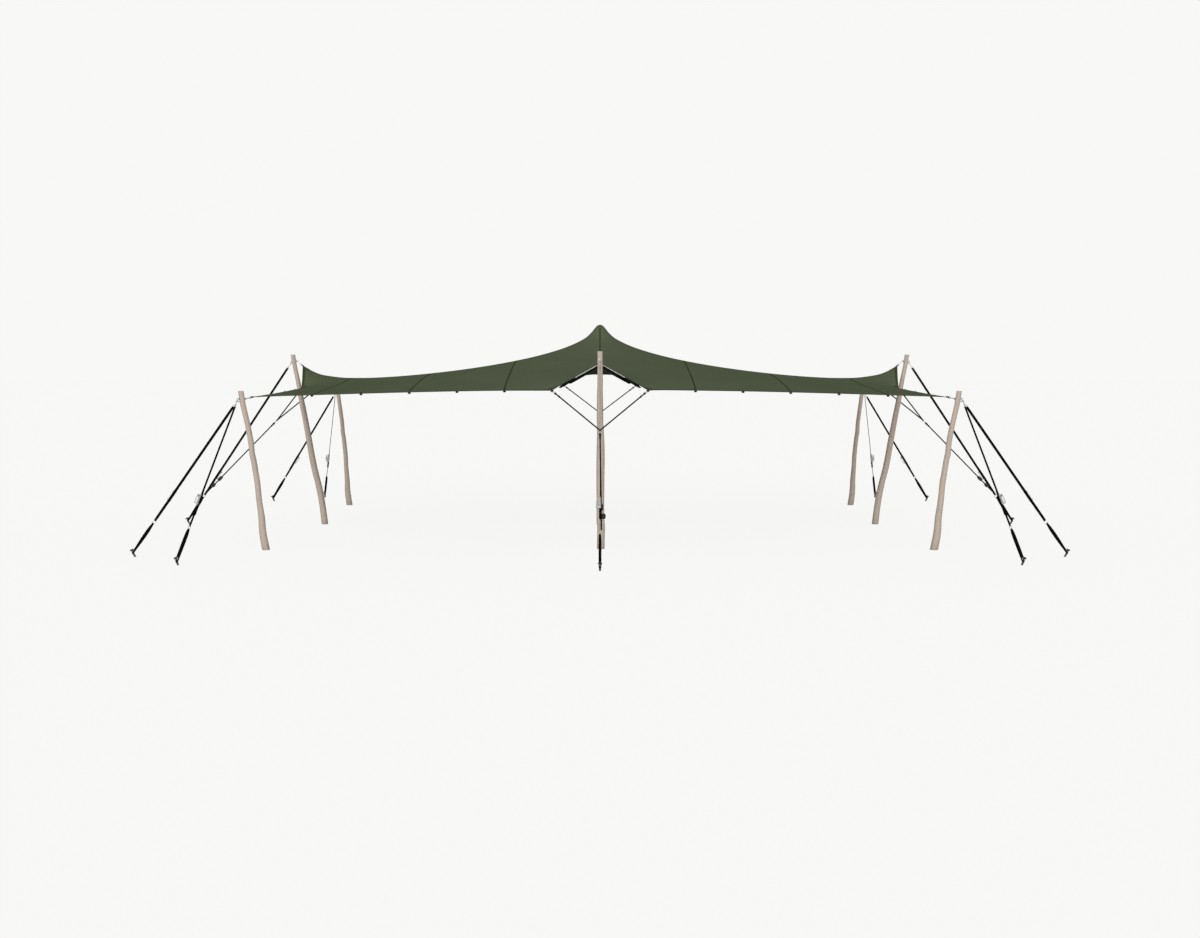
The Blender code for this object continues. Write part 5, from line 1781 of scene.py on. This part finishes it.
@dataclass
class Bridle:
    """Two rope legs from the fabric's edge to a knot, and one leg with its tensioner down to the stay's
    link."""

    name: str
    knot: Array
    holds: list
    line: Line
    outward: Array
    rope: float = 0.0112
    lay: float = 0.042
    link_height: float = 0.50
    ring_radius: float = 0.024
    ring_rod: float = 0.0046
    hook_rod: float = 0.0036
    tensioner: float = 0.785
    bunch: float = 0.872

    def _rope(self, start: Array, end: Array) -> Shape:
        """A laid rope: the section is three strands, whose turn is 2 pi times distance over lay."""
        along = unit(end - start)
        length = float(np.linalg.norm(end - start))
        place = np.linspace(0, length, max(6, int(length / 0.009)))
        side = unit(np.cross(along, vec(*self.outward) + vec(0.01, 0.02, 0.3)))
        other = np.cross(along, side)
        turn = np.arange(18)[None] * 2 * pi / 18
        lobes = 1 - 0.17 * (1 - np.abs(np.cos(1.5 * (turn - 2 * pi * place[:, None] / self.lay))))
        radius = self.rope * lobes
        rings = (start + along * place[:, None, None] + (radius * np.cos(turn))[..., None] * side
                 + (radius * np.sin(turn))[..., None] * other)
        return skin(rings)

    def _lump(self, place: Array, way: Array, half: float, radius: float) -> Shape:
        """A whipped knot: a rounded body with turns of rope round it."""
        rows = np.linspace(-1, 1, 33)
        turns = 1 + 0.10 * np.abs(np.sin(rows * pi * 2.5)) - 0.06
        profile = np.stack([radius * np.sqrt(np.clip(1 - rows ** 4, 0, 1)) * turns, rows * half], axis=1)
        return turned_body(profile, place, way, 20)

    def build(self, finishes: Finishes) -> None:
        """Make the bridle's pieces."""
        dark, steel = [], []
        for hold in self.holds:
            way = unit(self.knot - hold)
            beside = unit(np.cross(way, self.outward))
            square = np.cross(way, beside)
            path = [hold - way * 0.012 + square * 0.004, hold + way * 0.018 + square * 0.0045,
                    hold + way * 0.030,
                    hold + way * 0.018 - square * 0.0045, hold - way * 0.012 - square * 0.004]
            tab = carry(bent_path(np.array(path), 0.007, 6), flat_section(0.0170, 0.0015, 0.001), beside)
            dark.append(tab)
            corners = [hold + way * x + beside * y
                       for x, y in ((0.024, 0.011), (0.024, -0.011), (0.074, -0.0075), (0.074, 0.0075))]
            steel.append(carry(bent_path(np.array(corners), 0.010, 7, closed=True),
                               round_section(self.hook_rod, 10), square, closed=True))
            start = hold + way * 0.072
            dark += [self._rope(start, self.knot).finished(1),
                     self._lump(start + way * 0.012, way, 0.019, 0.0165),
                     self._lump(start + way * 0.105, way, 0.016, 0.0155)]
        line = self.line
        foot = line.ring + line.along * (line.at_height(self.link_height) - 0.02)
        last = foot - line.flat * line.swing * 0.020 - line.along * 0.016
        fall = last - self.knot
        way = unit(fall)
        beside = unit(np.cross(way, self.outward))
        middle = self.knot + way * 0.036
        circle = round_section(self.ring_radius, 32)
        steel.append(carry(middle + circle[:, :1] * way + circle[:, 1:] * beside,
                           round_section(self.ring_rod, 12), np.cross(way, beside), closed=True))
        dark += [self._lump(self.knot + way * 0.002, way, 0.014, 0.0150),
                 self._lump(self.knot + way * 0.090, way, 0.034, 0.0170),
                 self._lump(self.knot + way * 0.140, way, 0.016, 0.0150),
                 self._rope(self.knot + way * 0.060, last).finished(1)]
        length = float(np.linalg.norm(fall))
        slide = self.knot + fall * self.tensioner
        body = plate(flat_section(0.029, 0.044, 0.010), 0.050, 0.008).placed(
            slide, beside, way, np.cross(beside, way))
        bunch = self.knot + fall * self.bunch - line.flat * line.swing * 0.031
        dark += [body, self._lump(bunch, way, 0.040, 0.0310)]
        hook = [last - way * 0.004, last + way * 0.012,
                foot + line.along * 0.006 - line.flat * line.swing * 0.010,
                foot + line.along * 0.004 + line.flat * line.swing * 0.008]
        steel.append(carry(bent_path(np.array(hook), 0.008, 6), round_section(self.hook_rod, 10), beside))
        make_piece(f"rope_{self.name}", join(*dark), [finishes["toggle"], finishes["rope"]],
                   stands_for=(f"bridle_{self.name}",))
        make_piece(f"rope_steel_{self.name}", join(*steel), [finishes["zinc"]])
        log.info("bridle %s: lower leg %.2f m", self.name, length)


# The tent as a whole


@dataclass
class Frame:
    """The plan of the poles and stakes, symmetric both ways, from the quarter with +X and +Y."""

    corner_foot: tuple = (5.07, 3.61, 0.0)
    corner_top: tuple = (5.35, 3.89, 2.415)
    side_foot: tuple = (4.88, 0.0, 0.0)
    side_top: tuple = (5.40, 0.0, 3.0)
    end_foot: tuple = (0.0, 3.50, 0.0)
    end_top: tuple = (0.0, 4.02, 3.0)
    stake_reach: float = 1.725
    stake_spread: float = 0.836
    middle_stake_reach: float = 2.40
    corner_eye: float = 2.295
    middle_eye: float = 2.885
    corner_ring: tuple = (0.084, 0.032)
    middle_ring: tuple = (0.062, 0.038)
    side_knot: tuple = (5.70, 0.0, 1.845)
    end_knot: tuple = (0.0, 4.33, 1.845)
    king_top: float = 3.3497
    hold_depth: float = 0.0012
    bridle_depth: float = 0.004
    corner_girth: tuple = ((0, 0.061), (0.15, 0.054), (0.25, 0.047), (0.5, 0.044), (0.75, 0.041), (1, 0.040))
    side_girth: tuple = ((0, 0.058), (0.15, 0.0565), (0.45, 0.0525), (0.65, 0.047), (0.75, 0.044),
                         (0.85, 0.038), (1, 0.0385))
    end_girth: tuple = ((0, 0.057), (0.15, 0.0575), (0.25, 0.059), (0.35, 0.0605), (0.45, 0.062),
                        (0.55, 0.0585), (0.65, 0.0485), (0.85, 0.0415), (1, 0.040))
    king_girth: tuple = ((0, 0.062), (0.3, 0.062), (0.5, 0.052), (0.62, 0.043), (0.8, 0.040), (1, 0.040))
    front_crook: tuple = (0.026, -0.011)
    back_crook: tuple = (0.023, -0.010, -0.003)
    side_crook: tuple = (0.004, 0.0055, 0.007)
    end_crook: tuple = (0.010, 0.0075, 0.0035)
    king_crook: tuple = (0.004, -0.003)
    corner_kinks: tuple = ((0, -0.008), (0.04, -0.012), (0.10, -0.017), (0.14, -0.014), (0.19, -0.005),
                           (0.32, -0.006), (0.42, -0.002), (0.50, -0.008), (0.57, -0.012), (0.61, -0.017),
                           (0.67, -0.006), (0.75, -0.002), (1, 0.0))
    side_kinks: tuple = ((0, 0.0), (0.10, 0.005), (0.22, 0.005), (0.32, -0.006), (0.40, -0.004),
                         (0.47, 0.002), (0.63, 0.0), (0.72, -0.008), (0.85, -0.005), (0.94, -0.008),
                         (1, -0.004))
    end_kinks: tuple = ((0, 0.012), (0.06, 0.006), (0.11, 0.003), (0.16, -0.008), (0.21, -0.013),
                        (0.30, -0.011), (0.38, -0.006), (0.45, 0.001), (0.62, 0.004), (0.68, -0.005),
                        (0.76, -0.005), (0.84, 0.001), (1, 0.0))
    king_kinks: tuple = ((0, 0.0), (0.5, 0.003), (1, 0.0))

    def _stand(self, name: str, pole: Pole, eye_height: float, ring: tuple, outward: Array, hold: Array,
               finishes: Finishes) -> Link:
        """Build one outer pole with its link.

        Args:
            name: The pole's place.
            pole: The pole.
            eye_height: Height of its eye bolt.
            ring: How far out and down from the eye the stays' ring hangs.
            outward: The level way out of the tent.
            hold: Where the fabric is held.
            finishes: The tent's materials.

        Returns:
            The link.
        """
        pole.build(finishes)
        share = eye_height / pole.top[2]
        eye = pole.foot + (pole.top - pole.foot) * share
        link = Link(name, hold, eye, outward, ring, float(pole.radius(np.array([share]))[0]))
        link.build(finishes)
        return link

    def _stay(self, name: str, ring: Array, ground: Array, swing: float, finishes: Finishes) -> Line:
        """Build one stay with its handle and stake, from a ring to a place on the ground."""
        outward = unit(vec(ground[0] - ring[0], ground[1] - ring[1], 0.0))
        line = Line(ring, ground, outward, swing)
        Stay(name, line).build(finishes)
        Handle(name, line).build(finishes)
        Stake(name, ground, outward).build(finishes)
        return line

    def _corner(self, sx: int, sy: int, canopy: Canopy, finishes: Finishes) -> None:
        """Build the corner on that side: a pole, its link and two stays."""
        end = "front" if sy < 0 else "back"
        name = f"{end}_{'left' if sx < 0 else 'right'}"
        turn = vec(sx, sy, 1)
        foot, top = vec(*self.corner_foot) * turn, vec(*self.corner_top) * turn
        crook = self.front_crook if sy < 0 else self.back_crook
        pole = Pole(name, foot, top, self.corner_girth, crook, self.corner_kinks, vec(-sx, -0.4 * sy, 0),
                    20 + 3 * sx + sy)
        hold = canopy.at(vec(sx * canopy.half_length),
                         vec(sy * canopy.half_width))[0][0] - vec(0, 0, self.hold_depth)
        link = self._stand(name, pole, self.corner_eye, self.corner_ring, unit(vec(sx, sy, 0)), hold,
                           finishes)
        for kind, reach, swing in (("side", (self.stake_reach, self.stake_spread), -sx),
                                   (end, (self.stake_spread, self.stake_reach), sx * sy)):
            ground = foot + vec(sx * reach[0], sy * reach[1], 0)
            self._stay(f"{name}_{kind}", link.ring(), ground, swing, finishes)

    def _middle(self, name: str, sign: int, along_x: bool, canopy: Canopy, finishes: Finishes) -> None:
        """Build the middle of one side: a taller pole, its link, its stay and its bridle."""
        turn = vec(sign, sign, 1)
        if along_x:
            foot, top, knot = (vec(*p) * turn for p in (self.side_foot, self.side_top, self.side_knot))
            girth, crook, kinks, side = self.side_girth, self.side_crook, self.side_kinks, vec(-sign, 0.5, 0)
            outward, cut = vec(sign, 0, 0), (sign * canopy.half_length, 0.0)
            bridles = [(cut[0], k * canopy.side_bridle[1]) for k in (-1, 1)]
        else:
            foot, top, knot = (vec(*p) * turn for p in (self.end_foot, self.end_top, self.end_knot))
            girth, crook, kinks, side = self.end_girth, self.end_crook, self.end_kinks, vec(1, 0.4 * sign, 0)
            outward, cut = vec(0, sign, 0), (0.0, sign * canopy.half_width)
            bridles = [(k * canopy.end_bridle[0], cut[1]) for k in (-1, 1)]
        hold = canopy.at(vec(cut[0]), vec(cut[1]))[0][0] - vec(0, 0, self.hold_depth)
        pole = Pole(name, foot, top, girth, crook, kinks, side, 40 + 5 * sign + 2 * along_x)
        link = self._stand(name, pole, self.middle_eye, self.middle_ring, outward, hold, finishes)
        line = self._stay(name, link.ring(), foot + outward * self.middle_stake_reach, -sign, finishes)
        holds = [canopy.at(vec(u), vec(v))[0][0] - vec(0, 0, self.bridle_depth) for u, v in bridles]
        Bridle(name, knot, holds, line, outward).build(finishes)

    def build(self, canopy: Canopy, finishes: Finishes) -> None:
        """Build the king pole, the four corners and the four middles."""
        Pole("king", vec(0, 0, 0), vec(0, 0, self.king_top), self.king_girth, self.king_crook,
             self.king_kinks, vec(1, 0, 0), 77).build(finishes)
        for sx in (-1, 1):
            for sy in (-1, 1):
                self._corner(sx, sy, canopy, finishes)
        for name, sign, along_x in (("left", -1, True), ("right", 1, True), ("front", -1, False),
                                    ("back", 1, False)):
            self._middle(name, sign, along_x, canopy, finishes)


# The studio


@dataclass
class Studio:
    """A pale floor that runs out of sight, soft light from all round, a soft key from the front, and the
    camera."""

    background: tuple = (0.939, 0.939, 0.922)
    sky: float = 0.60
    bounce: float = 0.85
    key: float = 3.95
    camera_place: tuple = (0.0, -25.07, 2.7125)
    camera_pitch: float = 0.069
    focal_pixels: float = 1420.0
    image_width: float = 1200.0
    floor_reach: float = 400.0
    floor_level: float = -0.001
    floor_glow: float = 0.955
    floor_shade: float = 0.05
    key_size: float = 70.0
    key_turn: tuple = (84.0, 0.0, -6.0)

    def _world(self) -> None:
        """Even light for the tent, and the background colour for the camera."""
        world = bpy.data.worlds.new("soft_sky")
        bpy.context.scene.world = world
        world.use_nodes = True
        tree = world.node_tree
        tree.nodes.clear()
        light = node(tree, "ShaderNodeBackground", {"Color": (1.0, 1.0, 1.0, 1.0), "Strength": self.sky})
        seen = node(tree, "ShaderNodeBackground", {"Color": (*self.background, 1.0), "Strength": 1.0})
        camera_ray = node(tree, "ShaderNodeLightPath").outputs["Is Camera Ray"]
        both = node(tree, "ShaderNodeMixShader", {0: camera_ray, 1: light.outputs[0], 2: seen.outputs[0]})
        node(tree, "ShaderNodeOutputWorld", {"Surface": both.outputs[0]})

    def _floor(self) -> None:
        """A level floor that the camera sees almost as bright as the background, and that shades a little."""
        mesh = bpy.data.meshes.new("floor")
        ends = ((-1, -1), (1, -1), (1, 1), (-1, 1))
        mesh.from_pydata([(x * self.floor_reach, y * self.floor_reach, self.floor_level) for x, y in ends],
                         [], [(0, 1, 2, 3)])
        floor = bpy.data.objects.new("floor", mesh)
        bpy.context.scene.collection.objects.link(floor)
        material = bpy.data.materials.new("pale_floor")
        material.use_nodes = True
        tree = material.node_tree
        tree.nodes.clear()
        seen = node(tree, "ShaderNodeEmission", {"Color": (*self.background, 1.0),
                                                 "Strength": self.floor_glow})
        shaded = node(tree, "ShaderNodeBsdfDiffuse",
                      {"Color": (*(c * self.floor_shade for c in self.background), 1.0)})
        front = node(tree, "ShaderNodeAddShader", {0: seen.outputs[0], 1: shaded.outputs[0]})
        dull = node(tree, "ShaderNodeBsdfDiffuse", {"Color": (self.bounce, self.bounce, self.bounce * 0.98,
                                                              1.0)})
        camera_ray = node(tree, "ShaderNodeLightPath").outputs["Is Camera Ray"]
        both = node(tree, "ShaderNodeMixShader", {0: camera_ray, 1: dull.outputs[0], 2: front.outputs[0]})
        node(tree, "ShaderNodeOutputMaterial", {"Surface": both.outputs[0]})
        mesh.materials.append(material)

    def _key(self) -> None:
        """A wide soft light from the front, a little above the tent."""
        lamp = bpy.data.lights.new("soft_key", "SUN")
        lamp.energy = self.key
        lamp.angle = radians(self.key_size)
        light = bpy.data.objects.new("soft_key", lamp)
        light.rotation_euler = [radians(turn) for turn in self.key_turn]
        bpy.context.scene.collection.objects.link(light)

    def _camera(self) -> None:
        """The camera at the place and pitch that fit the poles' feet and heads."""
        lens = bpy.data.cameras.new("view")
        lens.sensor_width = 36.0
        lens.lens = self.focal_pixels * lens.sensor_width / self.image_width
        lens.clip_end = 2000.0
        camera = bpy.data.objects.new("view", lens)
        camera.location = self.camera_place
        camera.rotation_euler = (pi / 2 - self.camera_pitch, 0.0, 0.0)
        bpy.context.scene.collection.objects.link(camera)
        bpy.context.scene.camera = camera

    def build(self) -> None:
        """Set up the light, floor and camera."""
        bpy.context.scene.view_settings.view_transform = "Standard"
        self._world()
        self._floor()
        self._key()
        self._camera()
        log.info("studio ready")


def main() -> None:
    """Build the tent over its frame, then the studio round it."""
    logging.basicConfig(level=logging.INFO, format="%(message)s")
    finishes = Finishes()
    canopy = Canopy()
    canopy.build(finishes, PeakCap().build(finishes))
    Frame().build(canopy, finishes)
    Studio().build()


if __name__ == "__main__":
    main()
